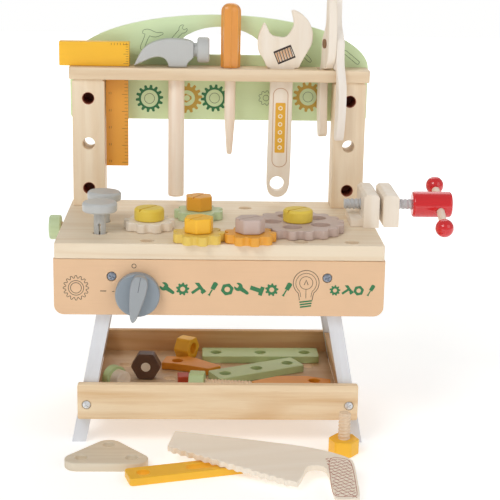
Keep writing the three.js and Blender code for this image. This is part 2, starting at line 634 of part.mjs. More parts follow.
for (const mesh of [plierA, plierB]) {
  mesh.position.set(...pliersHinge);
  mesh.rotation.z = THREE.MathUtils.degToRad(14);
}

// ---- pieces in the tray ----
const inTray = FLOOR_Z1 + GAP;
function lay(name, geometry, color, [x, y, z], spin = 0) {
  const mesh = piece(name, geometry, color, 0.5);
  mesh.rotation.z = THREE.MathUtils.degToRad(spin);
  mesh.position.set(x, y, inTray + z);
  return mesh;
}
// A building strip with a row of three holes.
function strip(length, width, pitch) {
  const s = rounded(length, width, 3);
  for (const x of [-pitch, 0, pitch]) s.holes.push(circlePath(x, 0, 6.2));
  return extrude(s, 8);
}
lay('strip_green_back', strip(133, 32, 50.7), LEAF, [50, 167.5, 0], 0.6);
lay('strip_green_front', strip(106, 31, 39.3), LEAF, [43.7, 113, 0], 27);
const offcut = outline([
  [-30, -1], [-10, -9], [10, -19], [25, -8.5], [-9, 23], [-37, 23], [-42, 1],
]);
offcut.holes.push(circlePath(-24, 8.5, 6.2));
lay('strip_orange_left', extrude(offcut, 8), ORANGE, [-20, 128, 0]);
const pointed = outline([
  [-43, -3], [-36, -12], [42, -14], [44, 2], [20, 13], [-12, 14],
]);
pointed.holes.push(circlePath(26, -2, 6.2));
lay('strip_orange_right', extrude(pointed, 8), ORANGE, [78.8, 74, 0], 2);
const LYING = Math.PI / 2;
const leafBolt = hexBolt(30, 16, 50, Math.PI / 6).rotate([0, -90, 0]);
lay('bolt_leaf_hex', leafBolt, LEAF, [-14, 44, 13.2], -7);
const nutShape = hexagon(28);
nutShape.holes.push(circlePath(0, 0, 6.8));
const nut = extrude(nutShape, 18).rotateZ(LYING / 3).rotateY(LYING);
lay('nut_yellow', nut, LEMON, [-42, 173.5, 12.4], -30);
const brownBolt = hexBolt(33, 14, 22).rotate([90, 0, 0]);
lay('bolt_brown', brownBolt, BROWN, [-77, 108, 14.5], -4);
const pegBolt = join(
  turned([[0, 0], [13.5, 0], [13.5, 9], [11.5, 11], [0, 11]], 24),
  rod([0, 0, -11], [0, 0, 1], 10.3, 24),
).rotate([-90, 0, 0]);
lay('bolt_tray_green', pegBolt, LEAF, [-106.8, 59, 13.8], 46);
lay('block_red', box(-6, 6, -8, 8, 0, 17), RED, [-36.5, 64, 0], 4);

// ---- pieces on the floor in front ----
const plateHoles = [[0, 19], [-25, -14.6], [25, -14.6]];
const plateShape = new THREE.Shape();
plateShape.absarc(0, 17.5, 14, Math.PI * 0.24, Math.PI * 0.76, false);
plateShape.absarc(-28, -16.5, 13.5, Math.PI * 0.76, Math.PI * 1.5, false);
plateShape.absarc(28, -16.5, 13.5, Math.PI * 1.5, Math.PI * 2.24, false);
for (const [x, y] of plateHoles) plateShape.holes.push(circlePath(x, y, 6));
piece('plate_triangle', extrude(plateShape, 9), PALE).position.set(-111, -36.5, 0);

const slotShape = rounded(186, 27, 4);
slotShape.holes.push(circlePath(-77, 0, 6.5), circlePath(77, 0, 6.5));
const slot = new THREE.Path();
slot.absarc(-28, 0, 6, Math.PI / 2, Math.PI * 1.5, false);
slot.absarc(28, 0, 6, -Math.PI / 2, Math.PI / 2, false);
slotShape.holes.push(slot);
const strip2 = piece('strip_yellow_slotted', extrude(slotShape, 8), YELLOW, 0.5);
strip2.position.set(0.7, -63.1, 0);
strip2.rotation.z = THREE.MathUtils.degToRad(16);

// Saw: blade and pistol grip cut from one board, leaning back a little on the strip.
const sawPoints = [[-187, 65], [-187, 37]];
const TEETH = 15;
for (let i = 0; i <= TEETH * 4; i += 1) {
  const t = i / (TEETH * 4);
  const wave = 1.3 * Math.cos(t * TEETH * Math.PI * 2);
  sawPoints.push([-185 + t * 130, 36 - 36 * t + wave]);
}
sawPoints.push(
  [-48, 0], [-45, 12], [-44.6, 22], [-42.6, 27], [-38, 30], [-29, 30.2], [-24.6, 27],
  [-20.6, 19], [-17, 7], [-9, -16], [-6.6, -19], [-3, -19.6], [9, -16.6], [13, -14], [14, -9],
  [1, 40], [-3, 46], [-10, 50], [-28, 56], [-54, 60.4], [-105, 62.4],
);
const sawShape = outline(sawPoints);
const SAW_T = 7;
const saw = piece('saw', extrude(sawShape, SAW_T, 'z', 4), PALE);
saw.rotation.order = 'ZYX';
saw.rotation.set(...[12.18, -0.25, -14.73].map(THREE.MathUtils.degToRad));
saw.position.set(121.2, -125.4, 4.8);

const floorBolt = piece('bolt_floor_hex', hexBolt(32, 16, 28, 0.15), YELLOW, 0.5);
floorBolt.rotation.x = Math.PI;
floorBolt.position.set(128.8, -16, 16);

// ---- origin: bottom centre of the whole toy ----
const bounds = new THREE.Box3().setFromObject(bench, true);
const centre = bounds.getCenter(new THREE.Vector3());
bench.position.set(-centre.x, -centre.y, -bounds.min.z);
bench.updateMatrixWorld(true);

export default bench;
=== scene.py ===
"""Looks of the toy tool bench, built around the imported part.

Lengths are written in millimetres and places in the bench's own layout: X = 0 on the middle of
the worktop, Y = 0 on its front edge, Z = 0 on the floor. at() turns them into the part's frame.
"""
from math import cos, pi, radians, sin, sqrt, tanh

import bmesh
import bpy
from mathutils import Euler, Matrix, Vector


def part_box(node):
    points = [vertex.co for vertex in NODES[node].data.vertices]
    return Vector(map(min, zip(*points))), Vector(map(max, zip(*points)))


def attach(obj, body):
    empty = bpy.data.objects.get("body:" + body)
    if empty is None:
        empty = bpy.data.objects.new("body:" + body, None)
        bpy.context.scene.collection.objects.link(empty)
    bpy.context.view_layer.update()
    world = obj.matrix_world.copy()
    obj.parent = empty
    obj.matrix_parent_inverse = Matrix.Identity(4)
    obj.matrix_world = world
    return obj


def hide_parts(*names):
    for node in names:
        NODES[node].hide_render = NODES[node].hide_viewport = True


MM = 0.001
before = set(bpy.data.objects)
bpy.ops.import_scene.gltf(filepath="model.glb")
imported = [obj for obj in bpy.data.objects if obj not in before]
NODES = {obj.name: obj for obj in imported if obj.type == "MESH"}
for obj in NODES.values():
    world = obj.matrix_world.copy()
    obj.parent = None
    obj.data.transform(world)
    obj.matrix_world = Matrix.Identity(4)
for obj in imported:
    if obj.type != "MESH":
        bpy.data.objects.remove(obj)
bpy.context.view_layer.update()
scene = bpy.context.scene

_low, _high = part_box("worktop")
BENCH_X = (_low.x + _high.x) / 2
BENCH_Y = _low.y


def at(x, y, z):
    return Vector((BENCH_X + x * MM, BENCH_Y + y * MM, z * MM))


def place(x, y, z, turn=None):
    """Matrix that puts a piece built around its own origin at a point of the bench layout."""
    m = Matrix.Translation(at(x, y, z))
    return m @ turn if turn else m


def turned_by(rx=0, ry=0, rz=0):
    return Euler([radians(a) for a in (rx, ry, rz)]).to_matrix().to_4x4()


# An outline drawn in XY stands upright: facing the front, or facing the right-hand side.
FACING_FRONT = Matrix(((1, 0, 0, 0), (0, 0, -1, 0), (0, 1, 0, 0), (0, 0, 0, 1)))
FACING_SIDE = Matrix(((0, 0, 1, 0), (1, 0, 0, 0), (0, 1, 0, 0), (0, 0, 0, 1)))
ALONG_X = turned_by(0, 90, 0)          # a piece built upright lies along +X
ALONG_Y = turned_by(-90, 0, 0)         # ... along +Y
TO_FRONT = turned_by(90, 0, 0)         # ... towards the front


# -------- materials
def rgb(hex_value):
    parts = [((hex_value >> s) & 255) / 255 for s in (16, 8, 0)]
    return [c / 12.92 if c <= 0.04045 else ((c + 0.055) / 1.055) ** 2.4 for c in parts] + [1]


class Look:
    """A small helper that builds one node material."""

    def __init__(self, name):
        self.material = bpy.data.materials.new(name)
        self.material.use_nodes = True
        self.tree = self.material.node_tree
        self.shader = self.tree.nodes["Principled BSDF"]
        self.coords = self.node("ShaderNodeTexCoord").outputs["Object"]

    def node(self, kind, **values):
        n = self.tree.nodes.new(kind)
        for key, value in values.items():
            if hasattr(n, key):
                setattr(n, key, value)
            else:
                n.inputs[key.replace("_", " ")].default_value = value
        return n

    def link(self, a, b):
        self.tree.links.new(a, b)

    def stretched(self, scale, offset=(0, 0, 0)):
        m = self.node("ShaderNodeMapping")
        m.inputs["Scale"].default_value = scale
        m.inputs["Location"].default_value = offset
        self.link(self.coords, m.inputs["Vector"])
        return m.outputs["Vector"]

    def noise(self, vector, scale, detail=3.0, rough=0.5, distortion=0.0):
        n = self.node("ShaderNodeTexNoise", Scale=scale, Detail=detail, Roughness=rough,
                      Distortion=distortion)
        self.link(vector, n.inputs["Vector"])
        return n.outputs["Fac"]

    def ramp(self, value, low, high, a=(0, 0, 0, 1), b=(1, 1, 1, 1)):
        n = self.node("ShaderNodeValToRGB")
        n.color_ramp.elements[0].position = low
        n.color_ramp.elements[1].position = high
        n.color_ramp.elements[0].color = a
        n.color_ramp.elements[1].color = b
        self.link(value, n.inputs["Fac"])
        return n.outputs["Color"]

    def math(self, operation, a, b=None):
        n = self.node("ShaderNodeMath", operation=operation)
        for socket, value in zip(n.inputs, (a, b)):
            if value is None:
                continue
            if isinstance(value, (int, float)):
                socket.default_value = value
            else:
                self.link(value, socket)
        return n.outputs[0]

    def times(self, value, factor):
        return self.math("MULTIPLY", value, factor)

    def mix(self, factor, a, b, blend="MIX"):
        n = self.node("ShaderNodeMix", data_type="RGBA", blend_type=blend)
        for socket, value in ((n.inputs[0], factor), (n.inputs[6], a), (n.inputs[7], b)):
            if isinstance(value, (int, float, list, tuple)):
                socket.default_value = value
            else:
                self.link(value, socket)
        return n.outputs[2]

    def edges(self, radius):
        """1 on rounded edges and 0 on flats."""
        bevel = self.node("ShaderNodeBevel", samples=4)
        bevel.inputs["Radius"].default_value = radius
        geometry = self.node("ShaderNodeNewGeometry")
        dot = self.node("ShaderNodeVectorMath", operation="DOT_PRODUCT")
        self.link(bevel.outputs["Normal"], dot.inputs[0])
        self.link(geometry.outputs["Normal"], dot.inputs[1])
        return self.ramp(self.math("SUBTRACT", 1.0, dot.outputs["Value"]), 0.01, 0.12)

    def bump(self, *layers):
        """Layers of (height, strength, distance in metres), the last on top."""
        normal = None
        for height, strength, distance in layers:
            b = self.node("ShaderNodeBump", Strength=strength, Distance=distance)
            self.link(height, b.inputs["Height"])
            if normal:
                self.link(normal, b.inputs["Normal"])
            normal = b.outputs["Normal"]
        self.link(normal, self.shader.inputs["Normal"])

    def colour(self, socket):
        self.link(socket, self.shader.inputs["Base Color"])

    def uneven(self, pattern, amount, base):
        """Roughness that follows a pattern."""
        roughness = self.math("ADD", self.times(pattern, amount), base)
        self.link(roughness, self.shader.inputs["Roughness"])

    def fixed(self, name, value):
        self.shader.inputs[name].default_value = value


ACROSS = {"X": (0.06, 1, 1), "Y": (1, 0.06, 1), "Z": (1, 1, 0.06)}


def wood(name, light, dark, grain, seed, contrast=0.5):
    """Sanded plain wood: long growth rings, streaks and fine pores along one axis."""
    look = Look(name)
    squeeze = ACROSS[grain]
    board = look.stretched(squeeze, (seed, seed * 1.7, seed * 0.6))
    fibre = look.stretched([s * (0.5 if s < 1 else 1) for s in squeeze], (seed, 0, seed))
    broad = look.noise(board, 17.0, 2.0, 0.45, 0.35)
    rings = look.math("SINE", look.times(broad, 52.0))
    rings = look.ramp(rings, 0.05, 1.0)
    streaks = look.noise(board, 120.0, 4.0, 0.6, 0.2)
    pores = look.noise(fibre, 1500.0, 3.0, 0.65)
    blend = look.mix(look.times(rings, 0.34 * contrast), rgb(light), rgb(dark))
    spread = look.ramp(streaks, 0.42, 0.78)
    blend = look.mix(look.times(spread, 0.55 * contrast), blend, rgb(dark))
    fine = look.ramp(pores, 0.55, 0.8)
    blend = look.mix(look.times(fine, 0.22 * contrast), blend, rgb(dark), "MULTIPLY")
    worn = look.edges(0.0008)
    blend = look.mix(look.times(worn, 0.18), blend, rgb(light))
    look.colour(blend)
    look.uneven(streaks, 0.16, 0.47)
    look.bump((streaks, 0.25, 0.0002), (pores, 0.3, 0.0001))
    return look.material


def paint(name, colour, rough=0.42, wear=0.3, grain="X", light=None, coat=0.0):
    """Paint on wood: the grain shows faintly through, and edges are rubbed lighter."""
    look = Look(name)
    base = rgb(colour)
    pale = rgb(light) if light else [min(1, c * 1.25 + 0.05) for c in base[:3]] + [1]
    deep = [c * 0.86 for c in base[:3]] + [1]
    fibre = look.stretched(ACROSS[grain])
    cloud = look.noise(look.coords, 26.0, 3.0, 0.5)
    brush = look.noise(fibre, 420.0, 4.0, 0.6)
    speck = look.noise(look.coords, 1900.0, 2.0, 0.5)
    tone = look.mix(look.times(look.ramp(cloud, 0.35, 0.75), 0.35), base, deep)
    tone = look.mix(look.times(look.ramp(brush, 0.5, 0.85), 0.25), tone, deep)
    rubbed = look.times(look.edges(0.0011), look.ramp(speck, 0.3, 0.7))
    tone = look.mix(look.times(rubbed, wear), tone, pale)
    look.colour(tone)
    look.uneven(brush, 0.14, rough - 0.07)
    look.fixed("Coat Weight", coat)
    look.fixed("Coat Roughness", 0.12)
    look.bump((brush, 0.16, 0.00012), (speck, 0.12, 0.00005))
    return look.material


def metal(name, colour, rough, metallic):
    look = Look(name)
    scratch = look.noise(look.stretched((1, 14, 1)), 900.0, 4.0, 0.6)
    cloud = look.noise(look.coords, 240.0, 3.0)
    base = rgb(colour)
    deep = [c * 0.72 for c in base[:3]] + [1]
    look.colour(look.mix(look.ramp(cloud, 0.4, 0.75), base, deep))
    look.fixed("Metallic", metallic)
    look.uneven(scratch, 0.25, rough - 0.1)
    look.bump((scratch, 0.25, 0.00005), (cloud, 0.1, 0.0001))
    return look.material


def ink(name, colour):
    """Printed marks: flat colour, thin in places where the wood's tooth shows."""
    look = Look(name)
    base = rgb(colour)
    thin = [min(1, c * 1.35 + 0.03) for c in base[:3]] + [1]
    tooth = look.noise(look.coords, 1300.0, 3.0, 0.6)
    look.colour(look.mix(look.times(look.ramp(tooth, 0.5, 0.8), 0.5), base, thin))
    look.fixed("Roughness", 0.5)
    look.bump((tooth, 0.15, 0.00003))
    return look.material


PALE_LIGHT, PALE_DARK = 0xF8EDDE, 0xE6D0B2
pine_y = wood("pine_along_y", 0xF3E0C4, 0xD9B589, "Y", 1.1)
pine_z = wood("pine_along_z", 0xF3E0C4, 0xDDBD94, "Z", 2.3, contrast=0.7)
tray_wood = wood("tray_board_wood", 0xF8E0BC, 0xDAAD72, "X", 3.1, contrast=1.0)
# Painted shade: the tray's back, side and floor boards get darker wood than its front board, for the shadow
# under the worktop.
tray_inside = wood("tray_back_shaded_wood", 0xE8C090, 0xC99058, "X", 4.2, contrast=0.8)
tray_side = wood("tray_side_shaded_wood", 0xE0BE94, 0xBE9060, "Y", 2.2, contrast=0.8)
tray_floor = wood("tray_floor_shaded_wood", 0xDCC1A0, 0xC09A72, "X", 5.2)
top_wood = wood("worktop_wood", 0xF1E0C6, 0xDFC097, "X", 5.4, contrast=0.7)
shelf_wood = wood("shelf_wood", 0xF0DABB, 0xD2AE80, "X", 6.6, contrast=0.8)
pale_x = wood("pale_wood_along_x", PALE_LIGHT, PALE_DARK, "X", 7.7)
pale_y = wood("pale_wood_along_y", PALE_LIGHT, PALE_DARK, "Y", 8.2)
pale_z = wood("pale_wood_along_z", PALE_LIGHT, PALE_DARK, "Z", 9.3)
dowel_wood = wood("dowel_wood", 0xFDEEDC, 0xE9C5A5, "Z", 10.1, contrast=0.6)
thread_wood = wood("thread_wood", 0xF0D9BD, 0xD2A67A, "Z", 11.9, contrast=0.6)
peach = paint("peach_paint", 0xECC49C, 0.4, 0.2)
arch_green = paint("green_paint", 0xDFF2C2, 0.42, 0.2)
leaf = paint("leaf_paint", 0xC6DCA3, 0.42, 0.35)
pale_leaf = paint("pale_leaf_paint", 0xC9DBAE, 0.42, 0.3)
white = paint("white_paint", 0xE3E5EA, 0.36, 0.15, "Z", 0xFFFFFF)
grey = paint("grey_paint", 0xC6C7C5, 0.4, 0.25, "Z")
knob_grey = paint("knob_grey_paint", 0x919BA4, 0.36, 0.5, "Z", 0xC5D0D8)
grip_grey = paint("knob_grip_paint", 0xA1A6AA, 0.34, 0.6, "Z", 0xDEE3E6)
yellow = paint("yellow_paint", 0xFFC32F, 0.4, 0.4, light=0xFFF68C)
bright_yellow = paint("bright_yellow_paint", 0xF1D24F, 0.42, 0.35, light=0xFCF0B0)
lemon = paint("lemon_paint", 0xEDCA5E, 0.42, 0.35, light=0xF9E79B)
orange = paint("orange_paint", 0xEE9C2A, 0.42, 0.4, light=0xFFD484)
amber = paint("amber_paint", 0xF0A93A, 0.42, 0.4, light=0xFBDD9C)
handle_orange = paint("screwdriver_paint", 0xED9E45, 0.34, 0.35, "Z", 0xFCD587, 0.3)
taupe = paint("taupe_paint", 0xCFB9AF, 0.45, 0.3)
brown = paint("brown_paint", 0x66493B, 0.4, 0.3, light=0x9A7A68)
red = paint("red_paint", 0xDD1C23, 0.25, 0.25, "X", 0xFF7165, 0.6)
steel = metal("zinc_steel", 0xF0F2F4, 0.36, 0.55)
dark_steel = metal("screw_steel", 0x979EAB, 0.38, 0.8)
screw_grey = paint("screw_thread_paint", 0xC9CACC, 0.38, 0.4, "X", 0xF2F2F2)
# Painted shade: a dark reddish-brown wood for the shadowed walls inside the posts' blind holes.
hole_shade_wood = wood("painted_shade_hole_wood", 0xB5694F, 0x7A4030, "Y", 1.9, contrast=0.9)
green_ink = ink("green_ink", 0x2F7A4A)
ochre_ink = ink("ochre_ink", 0xC9A545)
black_ink = ink("black_ink", 0x4A4038)
line_ink = ink("line_ink", 0x6E8A5C)
red_ink = ink("red_brown_ink", 0xB87560)


# -------- shapes
def circle(x, y, r, sides=40):
    return [(x + r * cos(a), y + r * sin(a))
            for a in (2 * pi * i / sides for i in range(sides))]


def arc(x, y, r, start, end, steps):
    span = [radians(start + (end - start) * i / steps) for i in range(steps + 1)]
    return [(x + r * cos(a), y + r * sin(a)) for a in span]


def rectangle(x0, x1, y0, y1, r=0.01, steps=5):
    path = []
    corners = ((x1 - r, y0 + r, -90), (x1 - r, y1 - r, 0), (x0 + r, y1 - r, 90), (x0 + r, y0 + r, 180))
    for cx, cy, start in corners:
        path += arc(cx, cy, r, start, start + 90, steps)
    return path


def soft(points, sharp=(), rounds=2, share=0.22):
    """Round a coarse closed outline by cutting its corners; the listed points stay sharp."""
    path = [(x, y, i in sharp) for i, (x, y) in enumerate(points)]
    for _ in range(rounds):
        new = []
        for i, (x, y, keep) in enumerate(path):
            px, py, _k = path[i - 1]
            nx, ny, _k = path[(i + 1) % len(path)]
            if keep:
                new.append((x, y, True))
            else:
                new.append((x + (px - x) * share, y + (py - y) * share, False))
                new.append((x + (nx - x) * share, y + (ny - y) * share, False))
        path = new
    return [(x, y) for x, y, _k in path]


def polygon(sides, across, turn=0.0, r=1.2):
    points = [(across / 2 * cos(turn + 2 * pi * i / sides),
               across / 2 * sin(turn + 2 * pi * i / sides)) for i in range(sides)]
    return soft(points, rounds=2, share=r / across * 2)


def finished(bm):
    """A mesh in metres from shapes drawn in millimetres."""
    bmesh.ops.remove_doubles(bm, verts=bm.verts, dist=1e-4)
    bmesh.ops.recalc_face_normals(bm, faces=bm.faces)
    bmesh.ops.scale(bm, vec=(MM,) * 3, verts=bm.verts)
    mesh = bpy.data.meshes.new("shape")
    bm.to_mesh(mesh)
    bm.free()
    return mesh


def board(outline, holes=(), thick=8.0, edge=0.8, rings=2):
    """A flat board from Z = 0 up, with softly rounded edges all round, holes included."""
    curve = bpy.data.curves.new("outline", "CURVE")
    curve.dimensions = "2D"
    curve.fill_mode = "BOTH"
    curve.extrude = thick / 2 - edge
    curve.bevel_depth = edge
    curve.bevel_resolution = rings
    curve.offset = -edge
    for path in (outline, *holes):
        spline = curve.splines.new("POLY")
        spline.points.add(len(path) - 1)
        for point, (x, y) in zip(spline.points, path):
            point.co = (x, y, 0, 1)
        spline.use_cyclic_u = True
    holder = bpy.data.objects.new("outline", curve)
    scene.collection.objects.link(holder)
    bpy.context.view_layer.update()
    raw = bpy.data.meshes.new_from_object(holder)
    bpy.data.objects.remove(holder)
    bpy.data.curves.remove(curve)
    bm = bmesh.new()
    bm.from_mesh(raw)
    bpy.data.meshes.remove(raw)
    bmesh.ops.translate(bm, vec=(0, 0, thick / 2), verts=bm.verts)
    return finished(bm)


def rounded_profile(points, r, steps=3):
    """Round the inner corners of a lathe profile."""
    out = [points[0]]
    for i in range(1, len(points) - 1):
        p, a, b = Vector(points[i]), Vector(points[i - 1]), Vector(points[i + 1])
        back, on = (a - p), (b - p)
        reach = min(r, back.length * 0.45, on.length * 0.45)
        start, end = p + back.normalized() * reach, p + on.normalized() * reach
        for k in range(steps + 1):
            t = k / steps
            out.append(tuple(start * (1 - t) ** 2 + p * 2 * t * (1 - t) + end * t ** 2))
    out.append(points[-1])
    return out


def skinned(bm, rings, sides):
    """Faces between rings of points; a ring of one point is a tip."""
    for low, high in zip(rings, rings[1:]):
        for i in range(sides):
            j = (i + 1) % sides
            if len(low) == 1 and len(high) == 1:
                break
            if len(low) == 1:
                bm.faces.new((low[0], high[i], high[j]))
            elif len(high) == 1:
                bm.faces.new((low[i], low[j], high[0]))
            else:
                bm.faces.new((low[i], low[j], high[j], high[i]))
    return finished(bm)


def lathe(profile, sides=48, wave=None):
    """A turned piece around Z from (radius, height) pairs; wave may change a point's radius."""
    bm = bmesh.new()
    rings = []
    for r, h in profile:
        if r < 1e-6:
            rings.append([bm.verts.new((0, 0, h))])
            continue
        ring = []
        for i in range(sides):
            a = 2 * pi * i / sides
            reach = wave(a, r, h) if wave else r
            ring.append(bm.verts.new((reach * cos(a), reach * sin(a), h)))
        rings.append(ring)
    return skinned(bm, rings, sides)


def spun(points, r, sides):
    """A solid turned piece with rounded corners, closed on its axis at both ends."""
    start, end = (0, points[0][1]), (0, points[-1][1])
    return lathe(rounded_profile([start, *points, end], r), sides)


def threaded(r, length, pitch=3.6, depth=0.95, sides=40, per_turn=9):
    """A shank from Z = 0 up with a rounded helical thread and a chamfered end."""
    steps = int(length / pitch * per_turn)
    bm = bmesh.new()
    rings = []
    for k in range(steps + 1):
        z = length * k / steps
        taper = min(1.0, (length - z) / 1.6 + 0.12)
        ring = []
        for i in range(sides):
            turn = z / pitch - i / sides
            groove = 0.5 + 0.5 * cos(2 * pi * turn)
            reach = (r - depth * groove ** 1.5) * (1 - 0.16 * (1 - taper))
            a = 2 * pi * i / sides
            ring.append(bm.verts.new((reach * cos(a), reach * sin(a), z)))
        rings.append(ring)
    tips = [[bm.verts.new((0, 0, z))] for z in (0, length)]
    return skinned(bm, [tips[0], *rings, tips[1]], sides)


def block(x0, x1, y0, y1, z0, z1, edge=0.8, segments=3):
    bm = bmesh.new()
    bmesh.ops.create_cube(bm, size=1)
    bmesh.ops.scale(bm, vec=(x1 - x0, y1 - y0, z1 - z0), verts=bm.verts)
    bmesh.ops.translate(bm, vec=((x0 + x1) / 2, (y0 + y1) / 2, (z0 + z1) / 2), verts=bm.verts)
    if edge:
        bmesh.ops.bevel(bm, geom=list(bm.edges), offset=edge, segments=segments, affect="EDGES",
                        profile=0.5)
    return finished(bm)


def ball(r, sides=40):
    half = sides // 2
    return lathe([(r * sin(pi * i / half), -r * cos(pi * i / half))
                  if 0 < i < half else (0, -r if i == 0 else r) for i in range(half + 1)], sides)


def moved(mesh, matrix):
    mesh.transform(matrix)
    return mesh


def shift(x, y, z):
    return Matrix.Translation((x * MM, y * MM, z * MM))


def carved(mesh, *cutters):
    """mesh with the cutters taken away."""
    for cutter in cutters:
        a = bpy.data.objects.new("base", mesh)
        b = bpy.data.objects.new("cutter", cutter)
        for o in (a, b):
            scene.collection.objects.link(o)
        m = a.modifiers.new("cut", "BOOLEAN")
        m.operation = "DIFFERENCE"
        m.solver = "EXACT"
        m.object = b
        bpy.context.view_layer.update()
        done = bpy.data.meshes.new_from_object(a.evaluated_get(bpy.context.evaluated_depsgraph_get()))
        for o in (a, b):
            bpy.data.objects.remove(o)
        mesh = done
    return mesh


def add(name, mesh, body, material, matrix=None, stands_for=None, sharp=38):
    """Put one named piece in the scene, riding on a CAD body."""
    mesh.name = name
    mesh.materials.clear()
    mesh.materials.append(material)
    mesh.shade_smooth()
    mesh.set_sharp_from_angle(angle=radians(sharp))
    piece = bpy.data.objects.new(name, mesh)
    scene.collection.objects.link(piece)
    piece.matrix_world = matrix or Matrix.Identity(4)
    even = piece.modifiers.new("even_shading", "WEIGHTED_NORMAL")
    even.keep_sharp = True
    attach(piece, body)
    if stands_for:
        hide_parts(stands_for)


def soften(node, material, width=1.0, segments=3):
    """Keep a CAD node and round its edges."""
    piece = NODES[node]
    piece.data.materials.clear()
    piece.data.materials.append(material)
    for face in piece.data.polygons:
        face.use_smooth = True
    weld = piece.modifiers.new("weld", "WELD")
    weld.merge_threshold = 1e-5
    flat = piece.modifiers.new("flat_faces", "DECIMATE")
    flat.decimate_type = "DISSOLVE"
    flat.angle_limit = radians(1.5)
    bevel = piece.modifiers.new("soft_edges", "BEVEL")
    bevel.width = width * MM
    bevel.segments = segments
    bevel.limit_method = "ANGLE"
    bevel.angle_limit = radians(35)
    bevel.harden_normals = True


def gear_outline(teeth, radius, wave, phase=0.0, square=1.0, per_tooth=16):
    path = []
    for i in range(teeth * per_tooth):
        a = 2 * pi * i / (teeth * per_tooth)
        c = cos(teeth * (a - phase))
        c = tanh(square * c) / tanh(square)
        path.append(((radius + wave * c) * cos(a), (radius + wave * c) * sin(a)))
    return path


def toothed(teeth, radius, phase):
    """A gear's rim: broad low teeth with deeper round gaps between them."""
    path = []
    for i in range(teeth * 18):
        a = 2 * pi * i / (teeth * 18)
        c = tanh(1.7 * (cos(teeth * (a - phase)) + 0.12)) / tanh(1.9)
        r = radius + (1.85 if c > 0 else 3.4) * c
        path.append((r * cos(a), r * sin(a)))
    return path


def line(points, width, closed=False):
    return ("line", points, width, closed)


def ribbon(points, width, closed):
    """The left and right edges of a drawn line."""
    count = len(points)
    left, right = [], []
    for i, p in enumerate(points):
        a = Vector(points[i - 1] if i or closed else p)
        b = Vector(points[(i + 1) % count] if i < count - 1 or closed else p)
        run = (b - a).normalized()
        side = Vector((-run.y, run.x)) * width / 2
        left.append(tuple(Vector(p) + side))
        right.append(tuple(Vector(p) - side))
    return left, right


def printed(shapes, thick=0.1):
    """Thin flat marks in one mesh. Each shape is (outline, holes) or made by line()."""
    bm = bmesh.new()
    for shape in shapes:
        if shape[0] == "line":
            _kind, points, width, closed = shape
            left, right = ribbon(points, width, closed)
            count = len(points) if closed else len(points) - 1
            rows = [[bm.verts.new((x, y, z)) for x, y in side]
                    for side, z in ((left, 0), (left, thick), (right, thick), (right, 0))]
            for i in range(count):
                j = (i + 1) % len(points)
                for k in range(4):
                    a, b = rows[k], rows[(k + 1) % 4]
                    bm.faces.new((a[i], a[j], b[j], b[i]))
            if not closed:
                for i in (0, -1):
                    bm.faces.new([row[i] for row in rows])
        else:
            outline, holes = shape
            mesh = board(outline, holes, thick, 0.03, 0)
            mesh.transform(Matrix.Scale(1 / MM, 4))
            bm.from_mesh(mesh)
            bpy.data.meshes.remove(mesh)
    bmesh.ops.recalc_face_normals(bm, faces=bm.faces)
    bmesh.ops.scale(bm, vec=(MM,) * 3, verts=bm.verts)
    mesh = bpy.data.meshes.new("marks")
    bm.to_mesh(mesh)
    bm.free()
    return mesh


def moved_path(points, x, y, turn=0.0, size=1.0):
    c, s = cos(turn) * size, sin(turn) * size
    return [(x + a * c - b * s, y + a * s + b * c) for a, b in points]


# -------- the bench itself
TOP_W, TOP_D, TOP_T, TOP_Z = 330, 206, 16, 215
PITCH = 51.5
HOLE_R = 7
HOLE_X = [-73 + PITCH * i for i in range(5)]
HOLE_Y = [14.6 + PITCH * i for i in range(4)]
NAIL_X, NAIL_Y = -122.5, 45
worktop_holes = []
for hx in HOLE_X:
    for hy in HOLE_Y:
        under_post = abs(hx) > 120 and hy > 160
        under_vise = hx > 120 and 60 < hy < 160
        if not under_post and not under_vise:
            worktop_holes.append((hx, hy))
worktop_holes += [(NAIL_X, NAIL_Y + i * PITCH) for i in range(3)]
add("worktop_board",
    board(rectangle(-TOP_W / 2, TOP_W / 2, 0, TOP_D, 2), [circle(x, y, HOLE_R) for x, y in worktop_holes],
          TOP_T, 1.1, 3),
    "bench", top_wood, place(0, 0, TOP_Z - TOP_T), "worktop")

PANEL_SCREW_X, PANEL_SCREW_Z = 108, 181
KNOB_X, KNOB_Z = -82, 164
panel_path = [(-166, 198.7), *arc(-156, 151, 10, 180, 270, 10), *arc(156, 151, 10, 270, 360, 10),
              (166, 198.7)]
panel_holes = [circle(KNOB_X, KNOB_Z, 5.6), circle(-PANEL_SCREW_X, PANEL_SCREW_Z, 4.8),
               circle(PANEL_SCREW_X, PANEL_SCREW_Z, 4.8)]
add("front_panel_board", board(panel_path, panel_holes, 10, 1.0, 3),
    "bench", peach, place(0, 10, 0, FACING_FRONT), "front_panel")
for nodes, material, width in (
    ("back_panel", peach, 1.2), ("side_rail_left side_rail_right", pine_y, 0.8),
    ("leg_front_left leg_front_right leg_back_left leg_back_right", white, 1.0),
    # Painted shade: the tray's back and side boards use the darker shaded woods.
    ("tray_front", tray_wood, 1.2), ("tray_back", tray_inside, 1.0), ("tray_left tray_right", tray_side, 0.8),
    ("post_left post_right", pine_z, 1.3), ("tool_shelf", shelf_wood, 1.0), ("arch_board", arch_green, 1.1),
    ("vise_fixed_jaw vise_sliding_jaw", pale_z, 1.1),
):
    for node in nodes.split():
        soften(node, material, width)
# Painted shade: the tray floor's darker wood stands in for the shadow under the worktop.
soften("tray_floor", tray_floor, 0.4, 2)

